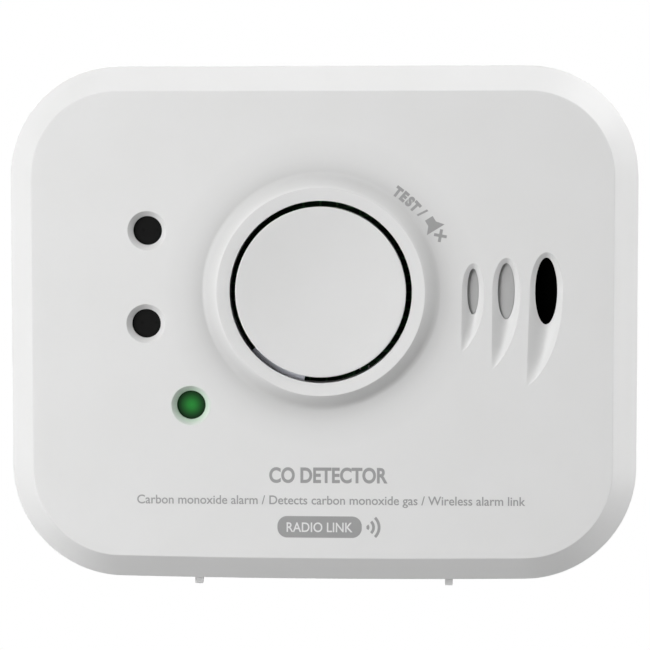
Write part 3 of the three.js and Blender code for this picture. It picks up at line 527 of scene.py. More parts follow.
for x, z in corners:
    weld(housing, rod("post", x, z, POST_RADIUS, HOUSING_BACK - CUT, HOUSING_RIM))
    cut(housing, rod("counterbore", x, z, HEAD_BORE, HOUSING_BACK + CUT, HEAD_SEAT))
    cut(housing, rod("screw_bore", x, z, SCREW_BORE, HOUSING_BACK, HOUSING_RIM - CUT))
for side, end in QUARTERS:
    z = end * HOOK_Z
    back_opening(side * HOOK_X, HOOK_WIDTH, z - HOOK_HEIGHT / 2, z + HOOK_HEIGHT / 2)
back_opening(RAMP_X, RAMP_WIDTH, RAMP_Z - RAMP_BELOW, RAMP_Z + RAMP_RUN)
label_x, label_z, label_half = middle(LABEL_LOW, LABEL_HIGH)
recess_width = 2 * (label_half + LABEL_MARGIN)
recess_height = LABEL_HIGH.z - LABEL_LOW.z + 2 * LABEL_MARGIN
recess = block("recess", label_x, label_z, recess_width, recess_height, HOUSING_BACK + CUT, LABEL_LOW.y)
round_edges(recess, runs_deep, LABEL_CORNER, 6)
cut(housing, recess)
for side in (-1, 1):
    for i in range(SIDE_SLOTS):
        x = side * (HALF_WIDTH - WALL / 2)
        z = (i - (SIDE_SLOTS - 1) / 2) * SIDE_SLOT_PITCH
        width = 2 * (WALL + LIP_WIDTH + CUT)
        air_slot = block("air_slot", x, z, width, SIDE_SLOT_WIDTH, SIDE_SLOT_BACK, SIDE_SLOT_FRONT)
        round_edges(air_slot, lambda first, second: abs(first.x - second.x) > NEAR, SIDE_SLOT_ROUND, 8)
        cut(housing, air_slot)
finish(housing, white_plastic("housing_plastic", 0.79, 0.46, 0.02), "housing", "rear_housing")


# ---- Rear label ----
# A thin printed card in the housing's recess. It carries a title, and blank ruled boxes for the
# dates that an installer writes in.

LABEL_EDGE = 0.05
INK_THICKNESS = 0.05 * MM
CAPITAL_HEIGHT = 0.729
LABEL_FACE = LABEL_HIGH.y + 0.005 * MM
RULE_WIDTH = 0.25 * MM


def refined(node, edge):
    """A merged copy of a CAD node's mesh, its sharp edges rounded by some millimetres."""
    piece = add_object(node + "_finished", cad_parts[node].data.copy())
    pick(piece, "faces", lambda face: True)
    if piece.data.has_custom_normals:
        bpy.ops.mesh.customdata_custom_splitnormals_clear()
    bpy.ops.mesh.remove_doubles(threshold=NEAR)
    bpy.ops.mesh.dissolve_limited(angle_limit=math.radians(1))
    leave_edit()
    sharp = math.radians(32)
    apply_modifier(piece, "BEVEL", width=edge * MM, segments=2, limit_method="ANGLE", angle_limit=sharp)
    smooth(piece)
    return piece


def dress(node, edge, material, slot, body="alarm_unit"):
    """Stands a refined and finished copy in for a CAD node."""
    finish(refined(node, edge), material, slot, node, body=body, even=False)


def plain_finish(name, colour, roughness, metallic=0, grain=0.02, stretch=(1, 1, 1), tone=0.12):
    """A finish with uneven tone and gloss and a fine surface grain."""
    material, tree, shader, place = shader_of(name)
    darker = [min(1, channel * (1 - tone)) for channel in colour]
    base = ramp_on(tree, noise_on(tree, place, 150, 3, stretch), [(0.3, darker), (0.7, colour)])
    gloss = range_on(tree, noise_on(tree, place, 450, 4, stretch), roughness * 0.85, roughness * 1.15)
    set_inputs(tree, shader, Metallic=metallic, Base_Color=base, Roughness=gloss)
    bump_on(tree, noise_on(tree, place, 2700, 2, stretch), shader, grain)
    return material


def printed_text(words, cap_height, width, x, z, y, weight, thickness=INK_THICKNESS, facing=-1):
    """Words as a thin layer of ink, set to a cap height and a width, centred on a place."""
    bpy.ops.object.select_all(action="DESELECT")
    bpy.ops.object.text_add()
    text = bpy.context.object.data
    text.body = words
    text.align_x = "CENTER"
    text.offset = weight
    text.resolution_u = 6
    text.extrude = 0.02
    bpy.ops.object.convert(target="MESH")
    piece = bpy.context.object
    vertices = piece.data.vertices
    left = min(vertex.co.x for vertex in vertices)
    right = max(vertex.co.x for vertex in vertices)
    for vertex in vertices:
        across = (vertex.co.x - (left + right) / 2) / (right - left) * width
        up = (vertex.co.y / CAPITAL_HEIGHT - 0.5) * cap_height
        out = (1 if vertex.co.z > 0 else -1) * thickness / 2
        vertex.co = (-facing * across, facing * out, up)
    settle(piece, (x, y, z))
    return piece


def label_rule(x, z, width, height):
    return block("rule", x, z, width, height, LABEL_HIGH.y - 0.02 * MM, LABEL_HIGH.y + 0.03 * MM)


def joined(name, pieces):
    """Makes several meshes one object."""
    select_only(pieces[0])
    for piece in pieces:
        piece.select_set(True)
    bpy.ops.object.join()
    pieces[0].name = name
    return pieces[0]


dress("rear_label", LABEL_EDGE, plain_finish("label_card", (0.68, 0.69, 0.70), 0.6, grain=0.01), "label")
label_print = [printed_text("CO DETECTOR", 3 * MM, 24 * MM, 0, label_z + 7 * MM, LABEL_FACE, 0.02, facing=1)]
for row in range(3):
    z = label_z - (4 * row - 1) * MM + RULE_WIDTH / 2
    label_print.append(label_rule(0, z, 48 * MM, RULE_WIDTH))
for column in range(7):
    label_print.append(label_rule((8 * column - 24) * MM, label_z - 2.875 * MM, 0.24 * MM, 8.25 * MM))
label_ink = plain_finish("label_ink", (0.05, 0.05, 0.055), 0.6, grain=0.003)
finish(joined("label_print", label_print), label_ink, "label", even=False)


# ---- Circuit board ----
# Green lacquered glass-fibre board, cut away at the corners for the case posts, with copper tracks
# under the lacquer, rows of small chip parts and three screws into the cover's posts.

BOARD_LOW, BOARD_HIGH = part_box("main_board")
BOARD_FRONT = BOARD_LOW.y
# Each row's first x and its z, in millimetres.
CHIP_ROWS = [(-36, 22), (-36, 26), (-12, 24), (8, 24), (-8, -8), (6, -10)]
CHIPS_IN_ROW = 6
CHIP_PITCH = 3
CHIP_LENGTH = 1.6 * MM
CHIP_WIDTH = 0.8 * MM
CHIP_RISE = 0.5 * MM
CHIP_END = 0.32 * MM
CHIP_OVERLAP = 0.02 * MM
CHIP_PLATING = 0.03 * MM


def board_lacquer(name, base, copper):
    """Lacquer over copper: a faint grid of tracks and round vias, in slight relief."""
    material, tree, shader, place = shader_of(name)
    flat = add_node(tree, "Mapping", Vector=place, Rotation=(math.pi / 2, 0, 0)).outputs["Vector"]
    tracks = add_node(tree, "TexBrick", Vector=flat, Scale=150, Mortar_Size=0.035, Mortar=WHITE)
    set_inputs(tree, tracks, Color1=(0, 0, 0, 1), Color2=(0, 0, 0, 1))
    tracks.offset = 0.37
    vias = add_node(tree, "TexVoronoi", Vector=flat, Scale=170)
    dots = ramp_on(tree, vias.outputs["Distance"], [(0.0, (1, 1, 1)), (0.09, (0, 0, 0))])
    both = mix_on(tree, tracks.outputs["Color"], dots, "LIGHTEN")
    gloss = range_on(tree, noise_on(tree, place, 300), 0.28, 0.42)
    set_inputs(tree, shader, Base_Color=ramp_on(tree, both, [(0.0, base), (1.0, copper)]), Roughness=gloss)
    bump_on(tree, both, shader, 0.03)
    return material


green_board = board_lacquer("green_board_lacquer", (0.012, 0.11, 0.035), (0.05, 0.24, 0.08))
dress("main_board", 0.12, green_board, "circuit_board")
black_moulding = plain_finish("black_moulding", (0.022, 0.022, 0.025), 0.45)
bright_tin = plain_finish("bright_tin", (0.72, 0.72, 0.70), 0.28, metallic=1, grain=0.004)
chip_bodies = []
chip_ends = []
for first_x, row_z in CHIP_ROWS:
    for i in range(CHIPS_IN_ROW):
        x = (first_x + CHIP_PITCH * i) * MM
        z = row_z * MM
        length = CHIP_LENGTH - 2 * (CHIP_END - CHIP_OVERLAP)
        front = BOARD_FRONT - CHIP_RISE
        chip_bodies.append(block("chip", x, z, length, CHIP_WIDTH, BOARD_FRONT, front))
        for side in (-1, 1):
            end_x = x + side * (CHIP_LENGTH - CHIP_END) / 2
            height = CHIP_WIDTH + 2 * CHIP_PLATING
            chip_ends.append(block("end", end_x, z, CHIP_END, height, BOARD_FRONT, front - CHIP_PLATING))
for name, parts, material, slot in (
    ("chip_part_bodies", chip_bodies, black_moulding, "black_plastic"),
    ("chip_part_ends", chip_ends, bright_tin, "nickel"),
):
    finish(joined(name, parts), material, slot)


# ---- Microcontroller ----
# A flat black package in epoxy moulding compound, with a round index mark in one corner and
# gull-wing legs on all four sides.

CHIP_LOW, CHIP_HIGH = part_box("microcontroller")
MARK_INSET = 1.3 * MM
MARK_RADIUS = 0.45 * MM
MARK_DEPTH = 0.1 * MM
LEG_COUNT = 10
LEG_PITCH = 0.8 * MM
LEG_WIDTH = 0.35 * MM
LEG_REACH = 1.1 * MM
LEG_ROOT = 0.1 * MM
LEG_RISE = 0.45 * MM
LEG_FOOT = 0.12 * MM


def package_leg(x, z, width, height):
    """One leg, its outer half pressed down to the board."""
    leg = block("leg", x, z, width, height, BOARD_FRONT, BOARD_FRONT - LEG_RISE)
    for vertex in leg.data.vertices:
        reach = max(abs(vertex.co.x - chip_x), abs(vertex.co.z - chip_z))
        if reach > chip_half + LEG_REACH / 2 and vertex.co.y < BOARD_FRONT - LEG_RISE / 2:
            vertex.co.y = BOARD_FRONT - LEG_FOOT
    return leg


controller = refined("microcontroller", 0.12)
mark_x = CHIP_LOW.x + MARK_INSET
mark_z = CHIP_HIGH.z - MARK_INSET
cut(controller, rod("mark", mark_x, mark_z, MARK_RADIUS, CHIP_LOW.y + MARK_DEPTH, CHIP_LOW.y - CUT))
finish(controller, black_moulding, "black_plastic", "microcontroller")
chip_x, chip_z, chip_half = middle(CHIP_LOW, CHIP_HIGH)
legs = []
for i in range(LEG_COUNT):
    along = (i - (LEG_COUNT - 1) / 2) * LEG_PITCH
    for side in (-1, 1):
        out = side * (chip_half + (LEG_REACH - LEG_ROOT) / 2)
        length = LEG_REACH + LEG_ROOT
        legs.append(package_leg(chip_x + out, chip_z + along, length, LEG_WIDTH))
        legs.append(package_leg(chip_x + along, chip_z + out, LEG_WIDTH, length))
finish(joined("microcontroller_legs", legs), bright_tin, "nickel")


# ---- Switches ----
# A tactile test switch on the board's front, and on its back a sprung switch that senses the plate.
# Both have black bodies; the plungers are softer grey and ivory mouldings.

ivory_moulding = plain_finish("ivory_moulding", (0.72, 0.71, 0.66), 0.4)
grey_moulding = plain_finish("grey_moulding", (0.05, 0.05, 0.055), 0.5)
dress("test_switch_body", 0.2, black_moulding, "black_plastic")
dress("switch_plunger", 0.2, grey_moulding, "plunger", "switch_plunger")
dress("activation_switch_body", 0.2, black_moulding, "black_plastic")
dress("activation_plunger", 0.1, ivory_moulding, "plunger", "activation_plunger")


# ---- Spring and aerial ----
# The activation switch's wound steel spring and the radio's copper wire aerial. Both keep the shape
# that they have and only take a finish.

spring_steel = plain_finish("spring_steel", (0.62, 0.62, 0.64), 0.25, metallic=1, grain=0.003)
copper_wire = plain_finish("copper_wire", (0.78, 0.36, 0.17), 0.25, metallic=1, grain=0.003)
for node, material in (("activation_spring", spring_steel), ("radio_aerial", copper_wire)):
    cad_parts[node].data.materials.clear()
    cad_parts[node].data.materials.append(material)


# ---- Battery ----
# A sealed lithium cell in a blue printed sleeve. It lies in a black moulded cradle between two
# nickel tabs.

CELL_LOW, CELL_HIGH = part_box("battery_cell")
CELL_RADIUS = (CELL_HIGH.z - CELL_LOW.z) / 2
CELL_LENGTH = CELL_HIGH.x - CELL_LOW.x
CELL_NUB = 1 * MM
CELL_NUB_RADIUS = 2.5 * MM
CELL_NUB_EDGE = 0.2 * MM
SLEEVE_LIP = 0.35 * MM
# Where each colour of the sleeve starts, as a share of the cell's length from its positive end.
SLEEVE_BANDS = [
    (0, (0.75, 0.75, 0.72)),
    (0.045, (0.78, 0.80, 0.82)),
    (0.2, (0.03, 0.12, 0.36)),
    (0.93, (0.02, 0.03, 0.08)),
]


def cell_sleeve(name):
    """Shrink sleeve: blue, with a pale band at the positive end and a fine pressed wrinkle."""
    material, tree, shader, place = shader_of(name)
    start = (-CELL_LOW.x / CELL_LENGTH, 0, 0)
    along = add_node(tree, "Mapping", Vector=place, Location=start, Scale=(1 / CELL_LENGTH, 1, 1))
    axes = add_node(tree, "SeparateXYZ", Vector=along.outputs["Vector"])
    bands = ramp_on(tree, axes.outputs["X"], SLEEVE_BANDS, steps=True)
    gloss = range_on(tree, noise_on(tree, place, 200), 0.22, 0.34)
    set_inputs(tree, shader, Base_Color=bands, Roughness=gloss, Coat_Weight=0.4)
    bump_on(tree, noise_on(tree, place, 260, 3, (0.3, 1, 1)), shader, 0.05)
    return material


def cell_body():
    """The can with its rolled ends and the positive nub, turned on an axis along x."""
    nub = CELL_LOW.x
    can = nub + CELL_NUB
    end = CELL_HIGH.x
    lip = SLEEVE_LIP
    radius = CELL_RADIUS
    profile = [[0, nub], [CELL_NUB_RADIUS - CELL_NUB_EDGE, nub], [CELL_NUB_RADIUS, nub + CELL_NUB_EDGE]]
    profile += [[CELL_NUB_RADIUS, can + lip], [radius - 2 * lip, can + lip], [radius - 1.5 * lip, can]]
    profile += [[radius - lip / 2, can], [radius, can + lip], [radius, end - lip], [radius - lip / 2, end]]
    profile += [[radius - 2 * lip, end], [radius - 2.5 * lip, end - lip], [0, end - lip]]
    piece = turned_solid("battery_cell_turned", 0, 0, profile, 64)
    y = (CELL_LOW.y + CELL_HIGH.y) / 2
    settle(piece, (0, y, (CELL_LOW.z + CELL_HIGH.z) / 2), (0, 0, -math.pi / 2))
    return piece


finish(cell_body(), cell_sleeve("cell_sleeve"), "cell_wrap", "battery_cell")
dress("battery_cradle", 0.25, black_moulding, "black_plastic")
nickel_strip = plain_finish("nickel_strip", (0.66, 0.65, 0.62), 0.3, 1, 0.004, (1, 1, 0.1))
for tab in ("battery_tab_left", "battery_tab_right"):
    dress(tab, 0.08, nickel_strip, "nickel")


# ---- Gas sensor ----
# An electrochemical cell: a drawn steel can with a bead pressed round it, on three gold pins. A
# white cap with the inlet in its middle closes the front.

CAN_LOW, CAN_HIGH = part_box("gas_sensor_can")
CAP_LOW, CAP_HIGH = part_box("gas_sensor_cap")
CAN_BEAD = 0.4 * MM
CAN_BEAD_LEVEL = 2.4 * MM
CAP_INLET = 1.2 * MM
CAP_STEP = 0.5 * MM


def sensor_can():
    """A can with a turned-in front edge and a bead pressed round its side."""
    x, z, radius = middle(CAN_LOW, CAN_HIGH)
    back = CAN_HIGH.y
    front = CAN_LOW.y
    bead = back - CAN_BEAD_LEVEL
    profile = [[0, back], [radius, back], [radius, bead + CAN_BEAD], [radius - CAN_BEAD, bead]]
    profile += [[radius, bead - CAN_BEAD], [radius, front + 0.8 * MM], [radius - 0.3 * MM, front + 0.25 * MM]]
    profile += [[radius - 0.9 * MM, front], [0, front]]
    return turned_solid("gas_sensor_can_drawn", x, z, profile, 72)


def sensor_cap():
    """A ring-shaped cap with a rounded rim, a step and the inlet in its middle."""
    x, z, radius = middle(CAP_LOW, CAP_HIGH)
    back = CAP_HIGH.y
    front = CAP_LOW.y
    step = front + CAP_STEP
    profile = [[CAP_INLET, back], [radius, back], [radius, step], [radius - 0.3 * MM, step - 0.2 * MM]]
    profile += [[radius * 0.7, step - 0.2 * MM], [radius * 0.66, front], [CAP_INLET + 0.3 * MM, front]]
    profile += [[CAP_INLET, front + 0.3 * MM], [CAP_INLET, back]]
    return turned_solid("gas_sensor_cap_moulded", x, z, profile, 72)


drawn_steel = plain_finish("drawn_steel", (0.60, 0.61, 0.62), 0.3, metallic=1, grain=0.004)
cap_moulding = plain_finish("cap_moulding", (0.80, 0.79, 0.75), 0.4)
gold_plate = plain_finish("gold_plate", (0.83, 0.62, 0.25), 0.22, metallic=1, grain=0.003)
finish(sensor_can(), drawn_steel, "sensor_steel", "gas_sensor_can")
finish(sensor_cap(), cap_moulding, "sensor_cap", "gas_sensor_cap")
for i in (1, 2, 3):
    dress(f"gas_sensor_pin_{i}", 0.08, gold_plate, "gold_pin")


# ---- Sounder ----
# A black cup with a step that carries a brass disc and its silvered ceramic. A rubber ring seals the
# cup to the cover, and a wound coil beside it drives the disc.

dress("sounder_housing", 0.25, black_moulding, "black_plastic")
brass_sheet = plain_finish("brass_sheet", (0.66, 0.46, 0.16), 0.32, 1, 0.003, (1, 1, 0.15))
dress("piezo_disc", 0.05, brass_sheet, "brass")
silvered = plain_finish("silvered_ceramic", (0.62, 0.62, 0.60), 0.5, metallic=0.6, grain=0.01)
dress("piezo_ceramic", 0.08, silvered, "ceramic")
soft_rubber = plain_finish("soft_rubber", (0.03, 0.03, 0.03), 0.85, grain=0.03)
dress("sounder_gasket", 0.2, soft_rubber, "rubber")
lacquered_winding = plain_finish("lacquered_winding", (0.10, 0.035, 0.02), 0.4, stretch=(1, 8, 1))
dress("sounder_coil", 0.15, lacquered_winding, "coil")


# ---- Buffer capacitor ----
# An upright can in a dark blue sleeve, with a pressed waist near the board and a bare top scored
# with a cross.

CAPACITOR_LOW, CAPACITOR_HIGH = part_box("buffer_capacitor")
WAIST_LEVEL = 1.8 * MM
SCORE_WIDTH = 0.36 * MM
SCORE_DEPTH = 0.35 * MM


def capacitor_can():
    x, z, radius = middle(CAPACITOR_LOW, CAPACITOR_HIGH)
    back = CAPACITOR_HIGH.y
    top = CAPACITOR_LOW.y
    waist = back - WAIST_LEVEL
    profile = [[0, back], [radius - 0.15 * MM, back], [radius, back - 0.2 * MM], [radius, waist + 0.5 * MM]]
    profile += [[radius - 0.3 * MM, waist], [radius, waist - 0.5 * MM], [radius, top + 0.3 * MM]]
    profile += [[radius - 0.3 * MM, top], [radius - 0.7 * MM, top], [radius - 0.8 * MM, top + 0.15 * MM]]
    profile += [[0, top + 0.15 * MM]]
    can = turned_solid("buffer_capacitor_can", x, z, profile, 64)
    reach = radius * 1.5
    for width, height in ((reach, SCORE_WIDTH), (SCORE_WIDTH, reach)):
        cut(can, block("score", x, z, width, height, top - CUT, top + SCORE_DEPTH))
    return can


capacitor_sleeve = plain_finish("capacitor_sleeve", (0.015, 0.03, 0.12), 0.3)
finish(capacitor_can(), capacitor_sleeve, "capacitor", "buffer_capacitor")


# ---- Radio module ----
# A small blue board on a black pin header, with a folded tinplate shield that has rows of round
# holes.

SHIELD_LOW, SHIELD_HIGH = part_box("radio_shield")
SHIELD_HOLE = 0.6 * MM
SHIELD_HOLE_DEPTH = 1.2 * MM
SHIELD_ROWS = 3
SHIELD_COLUMNS = 4

blue_board = board_lacquer("blue_board_lacquer", (0.012, 0.05, 0.17), (0.04, 0.12, 0.30))
tinplate = plain_finish("tinplate", (0.68, 0.68, 0.66), 0.3, metallic=1, grain=0.006)
dress("radio_board", 0.08, blue_board, "radio_circuit")
dress("radio_header", 0.2, black_moulding, "black_plastic")
shield = refined("radio_shield", 0.12)
for row in range(1, SHIELD_ROWS + 1):
    for column in range(1, SHIELD_COLUMNS + 1):
        x = SHIELD_LOW.x + (SHIELD_HIGH.x - SHIELD_LOW.x) * column / (SHIELD_COLUMNS + 1)
        z = SHIELD_LOW.z + (SHIELD_HIGH.z - SHIELD_LOW.z) * row / (SHIELD_ROWS + 1)
        hole_end = SHIELD_LOW.y + SHIELD_HOLE_DEPTH
        cut(shield, rod("hole", x, z, SHIELD_HOLE, hole_end, SHIELD_LOW.y - CUT, 20))
finish(shield, tinplate, "nickel", "radio_shield")


# ---- Status diodes ----
# Three clear-domed light-emitting diodes, one behind each light pipe. Each has a flange at its foot
# and a half-round dome.

LED_FLANGE_RISE = 1 * MM
LED_FLANGE_WIDTH = 0.4 * MM
DOME_STEPS = 8


def diode(node):
    """A flange, a straight side and a half-round dome."""
    low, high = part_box(node)
    x, z, flange = middle(low, high)
    radius = flange - LED_FLANGE_WIDTH
    shoulder = high.y - LED_FLANGE_RISE
    profile = [[0, high.y], [flange, high.y], [flange, shoulder], [radius, shoulder]]
    for i in range(DOME_STEPS + 1):
        turn = math.radians(90 * i / DOME_STEPS)
        profile.append([radius * math.cos(turn), low.y + radius * (1 - math.sin(turn))])
    return turned_solid(node + "_dome", x, z, profile, 32)


led_resin = plain_finish("led_resin", (0.62, 0.68, 0.60), 0.12, grain=0.002)
led_resin.node_tree.nodes["Principled BSDF"].inputs["Transmission Weight"].default_value = 0.6
for name in ("alarm_led", "fault_led", "power_led"):
    finish(diode(name), led_resin, "led", name)


# ---- Front cover ----
# A moulded white shell about 2 mm thick. Its face carries the raised ring round the button, three
# bevelled light windows and three sound outlets, each in a gouged scoop, with two nibs underneath.

BEVEL_WIDTH = 4.86 * MM
BEVEL_DEPTH = 5.5 * MM
FACE = RIM + 2.5 * MM
FACE_INSIDE = FACE + WALL
BEHIND_FACE = FACE_INSIDE + CUT
BEVEL_FOOT = FACE + BEVEL_DEPTH
COVER_CREASE = 0.18 * MM
BUTTON_RADIUS = 16.1 * MM
BUTTON_PLACE = (0, BUTTON_HIGH.z - BUTTON_RADIUS)
BORE_RADIUS = 17.2 * MM
BOSS_LAND = 2.43 * MM
BOSS_RISE = 2.2 * MM
BOSS_LAND_DROP = 2 * MM
BOSS_FLANK = 1.9 * MM
BOSS_FILLET = 1.2 * MM
BOSS_EDGE = 0.12 * MM
# Painted shade in the crease round the ring: how bright the plastic's colour is kept, at each radius in
# millimetres.
BOSS_SHADE = [(30, 1), (26.5, 0.96), (25, 0.93), (23.8, 0.88), (22.8, 0.83), (21.9, 0.83)]
BOSS_SHADE += [(21.1, 0.86), (20.3, 0.9), (19.6, 1)]
STRAP_START = 220.5
STRAP_END = 259
STRAP_OUTER = 20.5 * MM
STRAP_SLACK = 1.4
POCKET_SLACK = 0.4 * MM
POCKET_FRONT = RIM + 2.8 * MM
WINDOW_RADIUS = 2.75 * MM
WINDOW_RIM = 3.725 * MM
WINDOW_BEVEL = 1 * MM
WINDOW_LAND = 0.4 * MM
# The green light on the lit window's bevel, from its rim in to the lens, in millimetres.
RIM_GLOW = [(4.2, (1, 1, 1)), (2.75, (0.78, 1, 0.81))]
PIPE_SEAT = 3.7 * MM
VENTS = [
    {"x": 28.69, "z": 6.23, "width": 2.14, "height": 8.7, "tail": 11.5, "lean": 2.2, "sweep": 2.3},
    {"x": 34.95, "z": 6.3, "width": 3.2, "height": 10.6, "tail": 14.8, "lean": 2.75, "sweep": 2.2},
    {"x": 42.48, "z": 6.32, "width": 4.2, "height": 12.7, "tail": 18.1, "lean": 3.7, "sweep": 2.5},
]
SCOOP_MARGIN = 1.05 * MM
SCOOP_SLOPE = 0.52
SCOOP_SKEW = 0.35
SCOOP_OVERLAP = 1.12
SCOOP_TOP_RUN = 4.2 * MM
SCOOP_TIP = 0.35
NIB_X = 24.3 * MM
NIB_WIDTH = 1.5 * MM
NIB_BACK = -23 * MM
NIB_FRONT = -27 * MM
NIB_TIP = 1 * MM
NIB_EDGE = 0.12 * MM
BOARD_POSTS = [(-4 * MM, 38 * MM), (-49 * MM, -12 * MM), (50 * MM, -14 * MM)]
BOARD_POST_RADIUS = 3 * MM
ON_BOARD = BOARD_FRONT - 0.3 * MM
BOARD_SCREW_BORE = 1.3 * MM
BOARD_SCREW_END = BOARD_HIGH.y - 7 * MM
CASE_SCREW_END = HEAD_SEAT - 12 * MM


def cover_shell():
    """The outer block with its sloped rim, hollowed to one wall thickness."""
    shell = case_block("front_cover_moulding", 0, PARTING, BEVEL_FOOT)
    shrink_end(shell, BEVEL_FOOT, BEVEL_WIDTH, BEVEL_DEPTH)
    round_edges(shell, both_at(FACE), COVER_CREASE)
    round_edges(shell, both_at(BEVEL_FOOT), COVER_CREASE)
    slant = math.hypot(BEVEL_WIDTH, BEVEL_DEPTH)
    inner_foot = BEVEL_FOOT + WALL * (slant - BEVEL_DEPTH) / BEVEL_WIDTH
    inner_depth = inner_foot - FACE_INSIDE
    hollow = case_block("hollow", WALL, PARTING + WALL, inner_foot)
    shrink_end(hollow, inner_foot, inner_depth * BEVEL_WIDTH / BEVEL_DEPTH, inner_depth)
    cut(shell, hollow)
    return shell


def boss():
    """The raised ring: a flat land, a sloping flank and a hollow fillet that runs out into the face."""
    top = FACE - BOSS_RISE
    land_edge = BORE_RADIUS + BOSS_LAND
    foot = land_edge + BOSS_FLANK
    fillet_rise = BOSS_RISE / (1 + 2 * BOSS_FLANK / BOSS_FILLET)
    steps = 12
    profile = [[0, FACE_INSIDE], [foot + BOSS_FILLET, FACE_INSIDE]]
    for i in range(steps + 1):
        along = i / steps
        profile.append([foot + BOSS_FILLET * (1 - along), FACE - fillet_rise * along * along])
    profile += [[land_edge + BOSS_EDGE, top + BOSS_EDGE]]
    profile += [[land_edge + BOSS_EDGE * 0.35, top + BOSS_EDGE * 0.25]]
    profile += [[land_edge - BOSS_EDGE, top + BOSS_EDGE * 0.05], [0, top + BOSS_LAND_DROP]]
    return turned_solid("boss", *BUTTON_PLACE, profile, 160)


def arc_solid(name, x, z, inner, outer, back, front, start, end, steps):
    """A part of a flat ring, from one angle to another."""
    profile = [[inner, back], [outer, back], [outer, front], [inner, front]]
    return turned_solid(name, x, z, profile, steps, end - start, start)


def window_cutter(x, z):
    """A bevelled window, with a wider seat behind it for the light pipe's head."""
    neck = FACE + WINDOW_BEVEL
    seat = neck + WINDOW_LAND
    slope = (WINDOW_RIM - WINDOW_RADIUS) / WINDOW_BEVEL
    profile = [[0, BEHIND_FACE], [PIPE_SEAT, BEHIND_FACE], [PIPE_SEAT, seat], [WINDOW_RADIUS, seat]]
    profile += [[WINDOW_RADIUS, neck], [WINDOW_RIM + slope * CUT, FACE - CUT], [0, FACE - CUT]]
    return turned_solid("window", x, z, profile, 72)


def scoop_cutter(vent):
    """A gouge: round at the top, its tail leaning left to a point and rising to the face."""
    half = vent["width"] / 2 * MM + SCOOP_MARGIN
    up = vent["height"] / 2 * MM + SCOOP_MARGIN
    deepest = half * SCOOP_SLOPE
    bpy.ops.mesh.primitive_grid_add(x_subdivisions=24, y_subdivisions=64, size=2)
    cutter = bpy.context.object
    settle(cutter, turn=(math.pi / 2, 0, 0))
    for vertex in cutter.data.vertices:
        across = vertex.co.x * SCOOP_OVERLAP
        if vertex.co.z > 0:
            rise = math.sin(vertex.co.z * math.pi / 2) * 0.9995
            width = half * math.sqrt(1 - rise * rise)
            centre = vent["x"] * MM
            z = vent["z"] * MM + up * rise
            ease = min(1, up * (1 - rise) / SCOOP_TOP_RUN)
            depth = deepest * (1 - (1 - ease) ** 2)
        else:
            fall = min(-vertex.co.z, 0.999)
            width = half * (1 - fall ** vent["sweep"]) ** 0.8
            centre = vent["x"] * MM - half + (half - vent["lean"] * MM) * fall + width
            z = (vent["z"] - vent["tail"] * fall) * MM
            tip = min(1, (1 - fall) / SCOOP_TIP)
            depth = deepest * (1 - fall**2.4) ** 0.9 * tip * (2 - tip)
        hollow = depth * (1 - across * across) * (1 + SCOOP_SKEW * across)
        vertex.co = (centre + across * width, FACE + hollow, z)
    pick(cutter, "faces", lambda face: True)
    bpy.ops.mesh.extrude_region_move(TRANSFORM_OT_translate={"value": (0, -3 * MM, 0)})
    level = (vent["x"] * MM, FACE - 2 * MM, vent["z"] * MM)
    bpy.ops.transform.resize(value=(1, 0, 1), center_override=level)
    bpy.ops.mesh.select_all(action="SELECT")
    bpy.ops.mesh.normals_make_consistent(inside=False)
    leave_edit()
    return cutter


def vent_plug(vent, gap, back, front):
    """An upright elliptical rod that fills a sound outlet, apart from a gap round it."""
    plug = rod("plug", 0, 0, 1, back, front, 96)
    size = (vent["width"] / 2 * MM - gap, 1, vent["height"] / 2 * MM - gap)
    settle(plug, (vent["x"] * MM, 0, vent["z"] * MM), scale=size)
    return plug


def nib(x):
    """A small stop under the case, its back face sloping up to the wall."""
    root = -HALF_HEIGHT - BOTTOM_BOW * (1 - (x / HALF_WIDTH) ** 2)
    top = root + WALL / 2
    z = (COVER_LOW.z + top) / 2
    piece = block("nib", x, z, NIB_WIDTH, top - COVER_LOW.z, NIB_BACK, NIB_FRONT)
    for vertex in piece.data.vertices:
        if vertex.co.z < root and vertex.co.y > NIB_FRONT + NEAR:
            vertex.co.y = NIB_FRONT + NIB_TIP
    round_edges(piece, lambda first, second: max(first.z, second.z) < root, NIB_EDGE, 2)
    return piece


def round_glow(tree, place, x, z, radius, y):
    """A value that falls from 1 at a point to 0 at a radius round it."""
    mapping = add_node(tree, "Mapping", Vector=place)
    mapping.vector_type = "TEXTURE"
    set_inputs(tree, mapping, Location=(x, y, z), Scale=(radius, radius, radius))
    glow = add_node(tree, "TexGradient", Vector=mapping.outputs["Vector"])
    glow.gradient_type = "SPHERICAL"
    return glow.outputs["Fac"]


def painted_shade_and_light_round(material, x, z, y, stops):
    """Paints shade and light into a plastic's colour: multiplies it by another that changes with the distance
    from a point.
    """
    tree = material.node_tree
    place = add_node(tree, "TexCoord").outputs["Object"]
    base = tree.nodes["Principled BSDF"].inputs["Base Color"]
    reach = stops[0][0] * MM
    nearness = round_glow(tree, place, x, z, reach, y)
    shade = ramp_on(tree, nearness, [(1 - radius * MM / reach, colour) for radius, colour in stops])
    tree.links.new(mix_on(tree, base.links[0].from_socket, shade), base)


